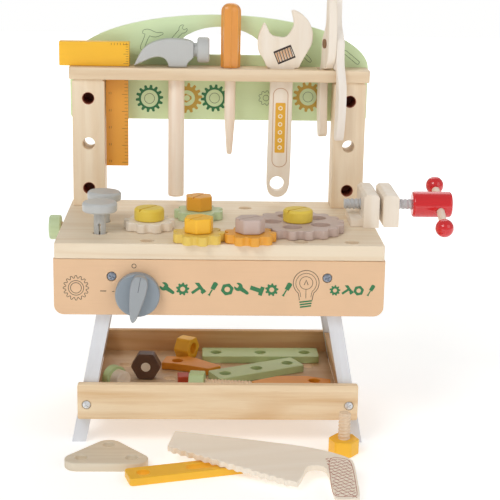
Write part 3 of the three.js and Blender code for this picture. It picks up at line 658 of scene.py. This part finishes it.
# Painted shade: dark brown walls and ends inside the blind holes of the posts stand in for the shadow in
# them.
POST_X, POST_Y = 143.5, 172
for side, hand in ((-1, "left"), (1, "right")):
    for height, name, depth in ((235, "lower", 27), (335, "upper", 33)):
        sleeve = lathe([(6.75, 0), (6.75, depth), (0, depth), (0, depth - 0.8), (6.2, depth - 0.8), (6.2, 0),
                        (6.75, 0)], 32)
        add(f"post_{hand}_{name}_hole_lining", sleeve, "bench", hole_shade_wood,
            place(side * POST_X, POST_Y + 0.5, height, ALONG_Y))


def screw_head(r, t, recess):
    """A low round head with a cross recess."""
    head = spun([(r * 0.8, 0), (r, t * 0.55), (r * 0.97, t * 0.8), (r * 0.6, t)], 0.5, 40)
    arms = [block(-recess, recess, -0.55, 0.55, t - 1.3, t + 1, 0),
            block(-0.55, 0.55, -recess, recess, t - 1.3, t + 1, 0)]
    return carved(head, *arms)


for side, hand in ((-1, "left"), (1, "right")):
    m = place(side * PANEL_SCREW_X, 2.6, PANEL_SCREW_Z, TO_FRONT @ turned_by(0, 0, 20 * side))
    add(f"panel_screw_{hand}_head", screw_head(4.4, 2.4, 2.7), "bench", dark_steel, m,
        f"panel_screw_{hand}")
    m = place(side * 134.8, 4.0, 44, TO_FRONT @ turned_by(0, 0, 35))
    add(f"tray_screw_{hand}_head", screw_head(4.2, 2.4, 2.7), "bench", steel, m,
        f"tray_screw_{hand}")

# -------- dial knob
knob_place = place(KNOB_X, 0, KNOB_Z, turned_by(0, 10, 0))
disc = spun([(22.0, 0), (22.3, 0.8), (22.3, 8.6), (21.2, 9.7)], 0.9, 96)
add("knob_disc", disc, "knob", knob_grey, knob_place @ shift(0, -0.3, 0) @ TO_FRONT,
    "dial_knob")
grip_path = soft([(0, -27), (3.2, -23), (6.4, -8), (8.4, 6), (8.4, 15), (6.2, 20.4), (2.4, 22), (-2.4, 22),
                  (-6.2, 20.4), (-8.4, 15), (-8.4, 6), (-6.4, -8), (-3.2, -23)], rounds=2)
add("knob_grip", board(grip_path, [], 10.5, 1.7, 4), "knob", grip_grey,
    knob_place @ shift(0, -9.0, 0) @ FACING_FRONT)
add("knob_grip_line", printed([line([(0, 21.2), (0, 6)], 0.7)]), "knob", ink("knob_line_ink", 0x6B6E74),
    knob_place @ shift(0, -19.45, 0) @ FACING_FRONT)
add("knob_spindle", lathe([(0, 0), (5, 0), (5, 12), (8, 12), (8, 16), (0, 16)], 32), "knob", pale_y,
    place(KNOB_X, -1, KNOB_Z, ALONG_Y))

# -------- vise
VISE_Y, VISE_Z = 109, 234.3
vise_place = place(0, VISE_Y, VISE_Z)
handle = spun([(12.3, 0), (13.85, 1.8), (13.85, 40.7), (12.3, 42.5)], 1.2, 72)
bar_direction = Vector((0, 70.9, 30.1)).normalized()
bar_turn = bar_direction.to_track_quat("Z", "Y").to_matrix().to_4x4()
BAR_X = 236.5
bar_hole = moved(lathe([(0, -20), (4.6, -20), (4.6, 20), (0, 20)], 40), shift(BAR_X, 0, 0) @ bar_turn)
handle = carved(moved(handle, shift(207, 0, 0) @ ALONG_X), bar_hole)
add("vise_handle", handle, "vise_screw", red, vise_place, "vise_spindle", 30)
add("vise_thread", moved(threaded(5.7, 76, 4.4, 0.9), shift(134, 0, 0) @ ALONG_X), "vise_screw",
    screw_grey, vise_place, sharp=60)
add("vise_collar", moved(spun([(7.6, 0), (7.6, 2.5)], 0.6, 40), shift(190.4, 0, 0) @ ALONG_X),
    "vise_screw", screw_grey, vise_place)
bar_place = place(BAR_X, VISE_Y, VISE_Z, bar_turn)
add("vise_bar_dowel", spun([(4.2, -42.5), (4.2, 35.5)], 0.5, 40), "vise_bar", dowel_wood,
    bar_place, "vise_crossbar")
for sign, name in ((-1, "lower"), (1, "upper")):
    add(f"vise_bar_ball_{name}", moved(ball(9.75, 48), shift(0, 0, sign * 39.5 - 3.5)), "vise_bar", red,
        bar_place)

# -------- gears
MESH_DISTANCE = PITCH * sqrt(2)
# The large gear's teeth stand in the orange gear's gaps, up and to the right of it.
LARGE_PHASE = pi / 4 + pi + (pi + 9 * pi / 4) / 17
GEAR_HOLE = {"yellow": (1, 0), "orange": (2, 0), "large": (3, 1), "beige": (0, 1), "green": (1, 2)}
GEARS = {
    "yellow": (9, 0.0, lemon, "lemon_paint"),
    "orange": (9, 0.0, amber, "orange_paint"),
    "large": (17, LARGE_PHASE, taupe, "taupe_paint"),
    "beige": (9, 0.2, pale_x, "pale_wood"),
    "green": (9, 0.35, pale_leaf, "green_paint"),
}


def on_gear(name, z):
    """Over the worktop hole that holds a gear."""
    column, row = GEAR_HOLE[name]
    return place(HOLE_X[column], HOLE_Y[row], z)


for name, (teeth, phase, material, slot) in GEARS.items():
    holes = [circle(0, 0, HOLE_R + 0.2)]
    if name == "large":
        for i in range(5):
            a = radians(-33 + 72 * i)
            holes.append(circle(27 * cos(a), 27 * sin(a), 10, 48))
    shape = toothed(teeth, MESH_DISTANCE * teeth / 26 - 0.45, phase)
    add(f"{name}_gear", board(shape, holes, 9, 0.7), "gear_" + name, material,
        on_gear(name, TOP_Z + 0.3), "gear_" + name, 50)

# -------- bolts
ON_GEAR = TOP_Z + 9.6
SHANK_R = 6.3


def hex_head(across, t, turn):
    return board(polygon(6, across, turn, 1.1), [], t, 1.1, 3)


def slotted_hex(turn):
    groove = block(-31, 31, -0.7, 0.7, 13.4, 16, 0)
    return carved(hex_head(31, 15, turn), moved(groove, Matrix.Rotation(turn + 0.5, 4, "Z")))


def slotted_round(turn):
    head = spun([(14.7, 0), (15.5, 0.9), (15.5, 11.2), (13.6, 13)], 1.0, 72)
    return carved(head, moved(block(-16.5, 16.5, -1.1, 1.1, 10.6, 14, 0), Matrix.Rotation(turn, 4, "Z")))


def bolt(node, head, shank_length, material, matrix):
    add(node + "_head", head, node, material, matrix, node)
    shank = moved(threaded(SHANK_R, shank_length + 1), shift(0, 0, 1) @ turned_by(180, 0, 0))
    add(node + "_thread", shank, node, thread_wood, matrix, sharp=60)


marigold = paint("marigold_paint", 0xF2AC35, 0.42, 0.4, light=0xFBDD9C)
for node, gear, head, material, slot in (
    ("bolt_yellow_hex", "yellow", slotted_hex(0.35), yellow, "yellow_paint"),
    ("bolt_taupe_hex", "orange", slotted_hex(0.1), taupe, "taupe_paint"),
    ("bolt_large_round", "large", slotted_round(0.75), bright_yellow, "yellow_paint"),
    ("bolt_beige_round", "beige", slotted_round(0.9), bright_yellow, "yellow_paint"),
    ("bolt_green_hex", "green", slotted_hex(0.6), marigold, "orange_paint"),
):
    bolt(node, head, 25, material, on_gear(gear, ON_GEAR))
side_profile = [(0, 0), (12.4, 0), (13.85, 1.2), (13.85, 11.6), (12.3, 13.4), (0, 13.6)]
bolt("bolt_side_green", lathe(rounded_profile(side_profile, 1.2, 5), 64), 30, pale_leaf,
     place(-174.8, 173, 190, turned_by(0, -90, 0)))
bolt("bolt_floor_hex", hex_head(32, 16, 0.15), 28, yellow,
     place(128.8, -16, 16, turned_by(180, 0, 0)))
TRAY_Z = 38.3
bolt("bolt_leaf_hex", hex_head(30, 16, pi / 6), 50, leaf,
     place(-14, 44, TRAY_Z + 13.2, turned_by(0, 0, -7) @ turned_by(0, -90, 0)))
brown_place = place(-77, 108, TRAY_Z + 14.5, turned_by(0, 0, -4) @ turned_by(90, 0, 0))
bolt("bolt_brown", hex_head(33, 14, 0), 22, brown, brown_place)
# The end of the brown bolt's core shows as a light disc in its head.
add("bolt_brown_core", spun([(5.2, 12), (5.2, 14.2)], 0.3, 32), "bolt_brown", pale_y,
    brown_place)
peg_place = place(-106.8, 59, TRAY_Z + 13.8, turned_by(0, 0, 46) @ turned_by(-90, 0, 0))
peg_head = spun([(13.5, 0), (13.5, 9), (11.5, 11)], 1.0, 64)
add("bolt_tray_green_head", peg_head, "bolt_tray_green", leaf, peg_place, "bolt_tray_green")
add("bolt_tray_green_peg", spun([(10.3, 1), (10.3, -9.8), (9, -11)], 0.6, 48), "bolt_tray_green", pale_z,
    peg_place)


# -------- nails
def nail(r, t, shank):
    """Head and stem of a driving peg; a slit up the stem ends in a round hole."""
    head = spun([(r - 1.4, 0), (r, 1.5), (r, t - 2.2), (r - 1.8, t - 0.2), (r - 3, t)], 0.9, 72)
    stem = spun([(5.4, -shank), (6.2, -shank + 1), (6.2, 1)], 0.5, 40)
    slit = block(-0.85, 0.85, -8, 8, -shank - 1, -13, 0)
    keyhole = moved(lathe([(0, -8), (1.5, -8), (1.5, 8), (0, 8)], 20), shift(0, 0, -13) @ ALONG_Y)
    return head, carved(stem, slit, keyhole)


for node, t, length, matrix in (
    ("nail_front", 10.4, 36, place(NAIL_X, NAIL_Y, 237.5)),
    ("nail_back", 9.5, 34, place(NAIL_X + 1, NAIL_Y + PITCH, 238.5, turned_by(0, 1.5, 0))),
):
    head, stem = nail(17.8, t, length)
    add(node + "_head", head, node, grey, matrix, node)
    add(node + "_shank", stem, node, grey, matrix)

# -------- tools on the shelf
TOOL_Y, ON_SHELF = 188, 369.3
HAMMER_X, DRIVER_X, WRENCH_X = -47.6, 11.7, 68.1
claw = [(-46.5, 1), (-42, 11), (-35.6, 20.6), (-26.1, 26.6), (-15.3, 29.7), (-6.5, 30.6), (10.2, 30.2),
        (17.8, 27.3), (19, 25), (19, 12), (17.8, 9.6), (12.6, 5.4), (11, 0), (-8.5, 0), (-9, 3.6),
        (-11.5, 8), (-15.2, 10.4), (-20, 11.4), (-26.6, 10.2), (-35.6, 6)]
head_body = moved(board(soft(claw, {0, 12, 13}), [], 19, 1.5, 3), shift(0, 9.5, 0) @ FACING_FRONT)
notch = board([(-50, -2.9), (-27, 0), (-50, 2.9)], [], 40, 0.05, 0)
hammer_place = place(HAMMER_X, TOOL_Y, ON_SHELF)
add("hammer_claw", carved(head_body, notch), "hammer", grey, hammer_place, "hammer_head", 34)
face = spun([(7.6, -5), (7.6, 0), (12.2, 0.1), (13.8, 1.6), (13.8, 12), (12.4, 13.6)], 1.1, 64)
add("hammer_striker", moved(face, shift(22.5, 0, 18.6) @ ALONG_X), "hammer", grey, hammer_place)
haft = spun([(7.9, -145), (8.9, -143.4), (8.9, -0.3), (5.5, -0.3), (5.5, 20)], 1.0, 64)
add("hammer_haft", haft, "hammer", dowel_wood, hammer_place, "hammer_handle")


def flutes(a, r, h):
    """Eight shallow hollows between soft ribs, fading out at the dome."""
    depth = 1.5 * min(1.0, max(0.0, (71.5 - h) / 9))
    return r - depth * abs(sin(4 * a)) ** 0.7 * (1 if r > 6 else 0.2)


driver_place = place(DRIVER_X, TOOL_Y, ON_SHELF)
grip_profile = [(0, 0), (10.2, 0), (10.8, 1), (10.8, 20), (10.8, 40), (10.8, 58), (10.7, 62), (9.9, 64.6),
                (8.2, 67), (5.6, 68.9), (2.6, 69.6), (0, 69.7)]
add("screwdriver_grip", lathe(grip_profile, 96, flutes), "screwdriver", handle_orange,
    driver_place, "screwdriver")
shaft = spun([(2.2, -97), (3.2, -94.5), (4.5, -76), (6, -56), (6, 1)], 1.2, 48)
wedges = []
for s in (-1, 1):
    flat = board([(s * 7.5, -75), (s * 7.5, -99), (s * 1.6, -99), (s * 1.7, -96)][::s], [], 24, 0.02, 0)
    wedges.append(moved(flat, FACING_SIDE @ shift(0, 0, -12)))
add("screwdriver_shaft", carved(shaft, *wedges), "screwdriver", dowel_wood, driver_place)

wrench_path = soft([
    (-12.2, 0), (-16.4, 0.3), (-21.2, 11.4), (-25.4, 16), (-27.4, 26), (-26, 37), (-20.6, 48.8),
    (-18.6, 48.8), (-13, 36), (-5, 34), (4, 33.4), (10, 41), (12.9, 49), (9.4, 62.5),
    (12, 63.8), (20.6, 60), (29, 51.5), (33.6, 40), (33, 27), (27.8, 18), (21.5, 7), (19, 0.3),
    (12.8, 0), (12.6, -16), (12.2, -126), (9.5, -138.5), (2.6, -144.6), (-7, -144.6),
    (-13, -138.5), (-14.4, -126), (-12.4, -16)], {6, 13})
WRENCH_T = 10
wrench_place = place(WRENCH_X, TOOL_Y, ON_SHELF)
add("wrench_board", moved(board(wrench_path, [circle(-2.4, -129, 8, 48)], WRENCH_T, 1.2, 3),
                          shift(0, WRENCH_T / 2, 0) @ FACING_FRONT), "wrench", pale_z,
    wrench_place, "wrench")
wrench_face = wrench_place @ shift(0, -WRENCH_T / 2 - 0.02, 0) @ FACING_FRONT
WORM = (2.6, 15.2, radians(23))
worm_marks = [(moved_path(rectangle(-10.3, 10.3, -7.5, 7.5, 0.4), *WORM),
               [moved_path(rectangle(-9.3, 9.3, -5.6, 5.4, 0.4), *WORM)])]
worm_fill = []
for i in range(6):
    x = -9.3 + 3.1 * i
    worm_marks.append(line(moved_path([(x + 1.5, -7), (x + 2.4, 6.5)], *WORM), 0.8))
    worm_fill.append((moved_path(rectangle(x - 0.3, x + 1.7, -5.4, 5.2, 0.3), *WORM), []))
add("wrench_worm_marks", printed(worm_marks, 0.14), "wrench", ink("worm_ink", 0x3E2F28),
    wrench_face)
add("wrench_worm_bands", printed(worm_fill), "wrench", ink("band_ink", 0xD9AE88), wrench_face)
label_line = rectangle(-8.6, 7.6, -110, -22, 7.4)
label_plate = rectangle(-6, 5.2, -94, -38, 1.2)
plate_marks = [(moved_path(polygon(6, 5.4, pi / 6, 0.3), -0.4, y), [circle(-0.4, y, 1.4, 16)])
               for y in (-44, -53, -62, -71, -80, -88)]
add("wrench_label_line", printed([line(label_line, 0.8, True)]), "wrench", ink("label_ink", 0xCBA27C),
    wrench_face)
add("wrench_label_plate", printed([(label_plate, [])]), "wrench", ink("plate_ink", 0xE9AE33),
    wrench_face)
add("wrench_label_marks", printed(plate_marks, 0.2), "wrench", ink("plate_mark_ink", 0xFBEFD0),
    wrench_face)

# Try square: a stock and a ruler blade with tick marks.
stock = block(-175.5, -99, TOOL_Y - 7, TOOL_Y + 7, ON_SHELF, ON_SHELF + 26.4, 1.0)
blade = block(-125.2, -100.6, TOOL_Y - 2.1, TOOL_Y + 2.1, 258, ON_SHELF + 2, 0.6)
square_place = place(0, 0, 0)
add("square_stock", stock, "try_square", yellow, square_place, "try_square")
add("square_blade", blade, "try_square", paint("blade_paint", 0xEBA43A, 0.42, 0.3, "Z", 0xF8D8A0),
    square_place)
tick_ink = ink("tick_ink", 0x8F6420)
TICK_Z = [262 + 3.8 * i for i in range(26)]
ticks = [line([(-101, z), (-101 - (3.6 if i % 5 else 6.5), z)], 0.5) for i, z in enumerate(TICK_Z)]
ticks += [line([(x, z), (x, z + 2.4)], 0.5) for x in (-121.5, -119.5) for z in TICK_Z[::5]]
add("square_blade_ticks", printed(ticks), "try_square", tick_ink,
    place(0, TOOL_Y - 2.12, 0, FACING_FRONT))
stock_ticks = []
for i in range(9):
    z = ON_SHELF + 3 + 2.6 * i
    stock_ticks.append(line([(-99.8, z), (-99.8 - (3 if i % 4 else 5.5), z)], 0.45))
for i in range(6):
    x = -102 - 3.3 * i
    stock_ticks.append(line([(x, ON_SHELF + 25.4), (x, ON_SHELF + 23)], 0.45))
add("square_stock_ticks", printed(stock_ticks), "try_square", tick_ink,
    place(0, TOOL_Y - 7.02, 0, FACING_FRONT))

# Pliers: two flat halves on a pin, seen edge on.
half = [(-0.6, 50), (-0.6, 22), (5, 12), (12, 3), (11.5, -8), (12.5, -20), (17, -31), (22.5, -45),
        (23.4, -70), (18.5, -104), (13, -105), (9.2, -101), (12, -70), (12.6, -48), (11.4, -28.2),
        (-1, -28.2), (-9.5, -20), (-12, -8), (-12.5, 3), (-12.5, 14), (-12, 30), (-9.5, 44), (-7.5, 50)]
PLIER_T = 9.3
pliers_place = place(123.3, 176, 398, turned_by(0, 0, 14))
back_half = moved(board(soft(half), [], PLIER_T, 1.0, 3), FACING_SIDE @ shift(0, 0, -PLIER_T - 0.15))
front_half = moved(board(soft([(-a, b) for a, b in half][::-1]), [circle(0, 0, 4.4)], PLIER_T, 1.0, 3),
                   FACING_SIDE @ shift(0, 0, 0.15))
add("pliers_back_board", back_half, "pliers_back", pale_z, pliers_place, "pliers_half_back")
pliers_wood = wood("pliers_wood", 0xFAF3EA, 0xEAD9C4, "Z", 3.7)
add("pliers_front_board", front_half, "pliers_front", pliers_wood, pliers_place,
    "pliers_half_front")
pin = spun([(5.0, -11), (5.0, -9.45), (4, -9.45), (4, 9.7)], 0.3, 40)
pin_wood = wood("pin_wood", 0x8F6A4A, 0x5A3F2C, "X", 1.3)
add("pliers_pin", moved(pin, ALONG_X), "pliers_back", pin_wood, pliers_place)

# -------- building pieces in the tray
def strip(length, width, pitch):
    return board(rectangle(-length / 2, length / 2, -width / 2, width / 2, 3),
                 [circle(x, 0, 6.2) for x in (-pitch, 0, pitch)], 8, 0.8)


def flat_piece(name, mesh, node, material, x, y, spin=0.0):
    add(name, mesh, node, material, place(x, y, TRAY_Z, turned_by(0, 0, spin)), node)


flat_piece("strip_back_board", strip(133, 32, 50.7), "strip_green_back", leaf, 50, 167.5, 0.6)
flat_piece("strip_front_board", strip(106, 31, 39.3), "strip_green_front", leaf, 43.7, 113, 27)
offcut = [(-30, -1), (-10, -9), (10, -19), (25, -8.5), (-9, 23), (-37, 23), (-42, 1)]
flat_piece("orange_left_board", board(soft(offcut, rounds=1, share=0.06), [circle(-24, 8.5, 6.2)], 8, 0.8),
           "strip_orange_left", orange, -20, 128)
pointed = [(-43, -3), (-36, -12), (42, -14), (44, 2), (20, 13), (-12, 14)]
flat_piece("orange_right_board", board(soft(pointed, rounds=1, share=0.06), [circle(26, -2, 6.2)], 8, 0.8),
           "strip_orange_right", orange, 78.8, 74, 2)
nut = board(polygon(6, 28, pi / 6, 1.0), [circle(0, 0, 6.8)], 18, 0.9)
add("nut_block", nut, "nut_yellow", yellow,
    place(-42, 173.5, TRAY_Z + 12.4, turned_by(0, 0, -30) @ ALONG_X), "nut_yellow")
add("red_block", block(-6, 6, -8, 8, 0, 17, 1.0), "block_red",
    paint("block_paint", 0xC4472C, 0.4, 0.3, "Z", 0xE58A6A),
    place(-36.5, 64, TRAY_Z, turned_by(0, 0, 4)), "block_red")

# -------- pieces on the floor
plate_path = (arc(0, 17.5, 14, 43.2, 136.8, 16) + arc(-28, -16.5, 13.5, 136.8, 270, 18)
              + arc(28, -16.5, 13.5, 270, 403.2, 18))
plate_holes = [circle(x, y, 6) for x, y in ((0, 19), (-25, -14.6), (25, -14.6))]
plate_wood = wood("plate_wood", 0xE6D9C3, 0xCDB694, "X", 4.9)
add("plate_board", board(plate_path, plate_holes, 9, 1.1, 3), "plate_triangle", plate_wood,
    place(-111, -36.5, 0), "plate_triangle")
slot_path = arc(-28, 0, 6, 90, 270, 14) + arc(28, 0, 6, -90, 90, 14)
slot_holes = [circle(-77, 0, 6.5), circle(77, 0, 6.5), slot_path]
slotted = board(rectangle(-93, 93, -13.5, 13.5, 4), slot_holes, 8, 0.9)
add("slotted_board", slotted, "strip_yellow_slotted", yellow,
    place(0.7, -63.1, 0, turned_by(0, 0, 16)), "strip_yellow_slotted")

saw_path = [(-187, 65), (-187, 37)]
TEETH = 15
for i in range(TEETH * 10 + 1):
    t = i / (TEETH * 10)
    saw_path.append((-185 + t * 130, 36.2 - 36 * t + 1.05 * cos(t * TEETH * 2 * pi)))
grip_end = soft([(-55, 1), (-48, 0), (-45, 12), (-44.6, 22), (-42.6, 27), (-38, 30), (-29, 30.2),
                 (-24.6, 27), (-20.6, 19), (-17, 7), (-9, -16), (-6.6, -19), (-3, -19.6), (9, -16.6),
                 (13, -14), (14, -9), (1, 40), (-3, 46), (-10, 50), (-28, 56), (-54, 60.4), (-105, 62.4),
                 (-187, 65)], {0, 1, 21, 22})
saw_path += grip_end[1:-1]
SAW_T = 7
# The saw lies turned, so its meshes are put in place themselves: that keeps their boxes close.
saw_place = place(121.2, -125.4, 4.8, turned_by(12.18, -0.25, -14.73))
saw_wood = wood("saw_wood", 0xFBF0E0, 0xEAD6BB, "X", 7.7, contrast=0.4)
add("saw_board", moved(board(saw_path, [], SAW_T, 0.6), saw_place), "saw", saw_wood,
    stands_for="saw")


def grip_inside(x, y):
    """True inside the crosshatched part of the saw's pistol grip."""
    if y < -15 or y > 44:
        return False
    left = -10 + (y + 16) * -0.34 if y < 7 else -16 - (y - 7) * 0.38
    right = 12 - (y + 9) * 0.265
    return left + 1.2 < x < right - 1.2


hatch = []
for sign, start in ((-1, -2), (1, 12)):
    for k in range(-18, 24):
        run = []
        for i in range(111):
            x = -40 + i * 0.55
            y = k * 5.2 + sign * x * 0.62 + start + 0.5 * sin(x * 0.9)
            if i < 110 and grip_inside(x, y):
                run.append((x, y))
                continue
            if len(run) > 3:
                hatch.append(line(run[::3] if len(run) > 6 else run, 0.55))
            run = []
border = [(-11.6, -13.4), (-5.6, -16.4), (10.6, -12.4), (11, -8), (-1.2, 38.4), (-8, 46), (-26, 45.6),
          (-18, 12)]
hatch.append(line(soft(border), 0.6, True))
add("saw_grip_hatching", moved(printed(hatch), saw_place @ shift(0, 0, SAW_T + 0.01)), "saw", red_ink)


# -------- printed marks
def ring_gear(x, y, r, teeth, hole):
    path = moved_path(gear_outline(teeth, r, r * 0.13, 0.1, 3.0, 12), x, y)
    return path, [circle(x, y, hole, 40)]


def circle_line(x, y, r, width):
    return line(circle(x, y, r, 40), width, True)


def wavy_gear_line(teeth, r, wave, square, x, y):
    return line(moved_path(gear_outline(teeth, r, wave, 0, square, 8), x, y), 0.55, True)


front_face = place(0, -0.03, 0, FACING_FRONT)
BULB_X, BULB_Y = 86.8, 171
GLASS_Y = BULB_Y + 5
bulb = [(BULB_X + 6.4, BULB_Y - 13), (BULB_X + 7.2, BULB_Y - 8), *arc(BULB_X, GLASS_Y, 13, -52, 232, 36),
        (BULB_X - 7.2, BULB_Y - 8), (BULB_X - 6.4, BULB_Y - 13)]
inner_bulb = moved_path(bulb, BULB_X - BULB_X * 0.8, (BULB_Y + 3) * 0.2, 0, 0.8)
panel_lines = [wavy_gear_line(16, 11.5, 1.3, 2.2, -143.6, 169), circle_line(-143.6, 169, 7.6, 0.55),
               circle_line(-143.6, 169, 5.4, 0.55), line(bulb, 0.6), line(inner_bulb, 0.45),
               circle_line(BULB_X, GLASS_Y, 6.6, 0.5),
               line([(BULB_X - 2, BULB_Y + 3), (BULB_X, BULB_Y + 8), (BULB_X + 2, BULB_Y + 3)], 0.8),
               line([(BULB_X, BULB_Y - 1.6), (BULB_X, BULB_Y - 11)], 0.5)]
# Marks for the dial's positions: a ring above it and short bars at its left.
panel_lines += [circle_line(-85.7, 192.1, 2.1, 0.6), line([(-119.5, 166), (-113.5, 166)], 0.8),
                line([(-107.6, 165.5), (-105.2, 165.5)], 0.5)]
add("panel_line_marks", printed(panel_lines), "bench", black_ink, front_face)

# Turn and outlines of the icons that are solid shapes.
SOLID_ICONS = {
    "hammer": (-0.95, [[(-9, 2), (-6, 6.6), (5, 6.6), (5, 7.4), (9, 7.4), (9, 1), (5, 1), (5, 2.4),
                        (1.8, 2.4), (1.8, -9), (-1.8, -9), (-1.8, 2.4)]]),
    "wrench": (0.95, [arc(0, 6, 5.6, -60, 62, 8) + [(1.9, 6.2), (-1.9, 6.2)]
                      + arc(0, 6, 5.6, 118, 240, 8) + [(-2.1, -8)] + arc(0, -8, 2.1, 180, 360, 6)]),
    "driver": (-0.5, [[(-2.8, 0), (2.8, 0), (3.2, 9), (1.6, 10.4), (-1.6, 10.4), (-3.2, 9)],
                      [(-0.9, -0.4), (-0.9, -7), (-1.8, -9.4), (1.8, -9.4), (0.9, -7), (0.9, -0.4)]]),
    "bolt": (-1.9, [[(-6, 8.6), (6, 8.6), (6, 3.6), (2.8, 3.4), (2.8, -9), (-2.8, -9), (-2.8, 3.4),
                     (-6, 3.6)]]),
}


def icon(kind, x, y, size):
    """The shapes of one small tool icon."""
    if kind == "gear":
        return [ring_gear(x, y, 7.6 * size, 9, 3.2 * size)]
    if kind == "nut":
        return [(moved_path(polygon(6, 17, 0.2, 0.6), x, y, 0, size), [circle(x, y, 3.6 * size, 24)])]
    turn, outlines = SOLID_ICONS[kind]
    return [(moved_path(path, x, y, turn, size), []) for path in outlines]


green_marks = []
for i, kind in enumerate("wrench gear hammer driver nut wrench bolt gear driver".split()):
    green_marks += icon(kind, -52 + 14.9 * i, 168.6, 0.78)
for i, kind in enumerate("gear hammer nut driver".split()):
    green_marks += icon(kind, 116 + 12 * i, 168.4, 0.64)
for k in range(3):
    y = BULB_Y - 14.4 - 2.6 * k
    reach = 6.4 - k * 0.4
    green_marks.append(line([(BULB_X - reach, y - 0.8), (BULB_X + reach, y + 0.8)], 1.5))
add("panel_green_marks", printed(green_marks, 0.12), "bench", green_ink, front_face)

arch_face = place(0, 206.27, 0, FACING_FRONT)
green_gears = [ring_gear(-77.9, 331, 13.6, 14, 9.6), ring_gear(-5.2, 332.4, 13.6, 14, 9.6)]
add("arch_green_gears", printed(green_gears, 0.12), "bench", green_ink, arch_face)
ochre_gears = [ring_gear(-36, 332, 15, 14, 8.8), ring_gear(-36, 332, 4.6, 3, 3.2),
               ring_gear(99.7, 335, 15, 14, 9.6)]
add("arch_ochre_gears", printed(ochre_gears), "bench", ochre_ink, arch_face)
hammer_line = soft([(-12, 6), (-7, 10), (2, 10.4), (8, 14), (10, 13), (5, 6.5), (0, 4), (-3, 4), (-1, -14),
                    (-5.6, -14), (-7.4, 3.6), (-10.4, 2)], rounds=1)
wrench_line = (arc(0, 9, 4.6, -55, 55, 6) + [(1.4, 9), (-1.4, 9)] + arc(0, 9, 4.6, 125, 235, 6)
               + [(-2, -12)] + arc(0, -12, 2, 180, 360, 5))
arch_lines = [circle_line(-77.9, 331, 5.6, 0.6), circle_line(-5.2, 332.4, 5.6, 0.6),
              wavy_gear_line(9, 7.4, 0.9, 2.0, 52.5, 333.2), circle_line(52.5, 333.2, 3.2, 0.5),
              circle_line(99.7, 335, 5.6, 0.5)]
for outline, x, y, turn, size in ((hammer_line, -77.4, 396, -0.5, 1.0), (wrench_line, -47, 402, -0.75, 1.0),
                                  (hammer_line, 96, 386, 0.7, 0.9),
                                  (rectangle(-2, 2, -11, 11, 1.9), 147, 380, 0.9, 1.0)):
    arch_lines.append(line(moved_path(outline, x, y, turn, size), 0.55, True))
add("arch_line_marks", printed(arch_lines), "bench", line_ink, arch_face)

# -------- floor, light and camera
floor = bpy.data.objects.new("floor", block(-3000, 3000, -2500, 4500, -8, 0, 0))
floor_look = Look("floor_white")
floor_look.fixed("Base Color", (0.96, 0.96, 0.955, 1))
floor_look.fixed("Roughness", 0.9)
floor_look.fixed("Specular IOR Level", 0.1)
floor_look.fixed("Emission Color", (1, 1, 0.995, 1))
# The floor glows a little more with distance, so that it meets the white background unseen.
distance = floor_look.node("ShaderNodeVectorMath", operation="LENGTH")
floor_look.link(floor_look.coords, distance.inputs[0])
fade = floor_look.node("ShaderNodeMapRange")
for key, value in (("From Min", 0.5), ("From Max", 2.2), ("To Min", 0.35), ("To Max", 1.0)):
    fade.inputs[key].default_value = value
floor_look.link(distance.outputs["Value"], fade.inputs["Value"])
floor_look.link(fade.outputs["Result"], floor_look.shader.inputs["Emission Strength"])
floor.data.materials.append(floor_look.material)
scene.collection.objects.link(floor)


def lamp(name, position, target, size, energy):
    data = bpy.data.lights.new(name, "AREA")
    data.shape = "DISK"
    data.size = size
    data.energy = energy
    o = bpy.data.objects.new(name, data)
    o.location = position
    o.rotation_mode = "QUATERNION"
    o.rotation_quaternion = (Vector(target) - Vector(position)).to_track_quat("-Z", "Y")
    scene.collection.objects.link(o)


lamp("key", (-1.1, -1.5, 1.9), (0, 0, 0.2), 1.1, 17.6)
lamp("fill", (1.6, -1.2, 1.2), (0, 0, 0.2), 1.6, 6.8)
lamp("back", (0.2, 1.5, 1.5), (0, 0, 0.3), 1.6, 9)
world = bpy.data.worlds.new("studio")
scene.world = world
world.use_nodes = True
air = world.node_tree
rays = air.nodes.new("ShaderNodeLightPath")
strength = air.nodes.new("ShaderNodeMapRange")      # white to the camera, softer as a light
strength.inputs["To Min"].default_value = 0.42
strength.inputs["To Max"].default_value = 1.0
air.links.new(rays.outputs["Is Camera Ray"], strength.inputs["Value"])
air.links.new(strength.outputs["Result"], air.nodes["Background"].inputs["Strength"])
air.nodes["Background"].inputs["Color"].default_value = (1, 1, 0.995, 1)
scene.view_settings.view_transform = "Standard"

CAMERA_AT = (-21.46, -1306.52, 543.01)
YAW, PITCH_DOWN, ROLL = (radians(a) for a in (2.242, 14.303, 1.072))
forward = Vector((sin(YAW) * cos(PITCH_DOWN), cos(YAW) * cos(PITCH_DOWN),
                  -sin(PITCH_DOWN)))
level = Vector((cos(YAW), -sin(YAW), 0))
upright = level.cross(forward)
right = level * cos(ROLL) + upright * sin(ROLL)
up = right.cross(forward)
camera_data = bpy.data.cameras.new("camera")
camera_data.lens = 97.48
camera_data.sensor_width = 36
camera = bpy.data.objects.new("camera", camera_data)
turn = Matrix((right, up, -forward)).transposed().to_4x4()
camera.matrix_world = Matrix.Translation(at(*CAMERA_AT)) @ turn
scene.collection.objects.link(camera)
scene.camera = camera
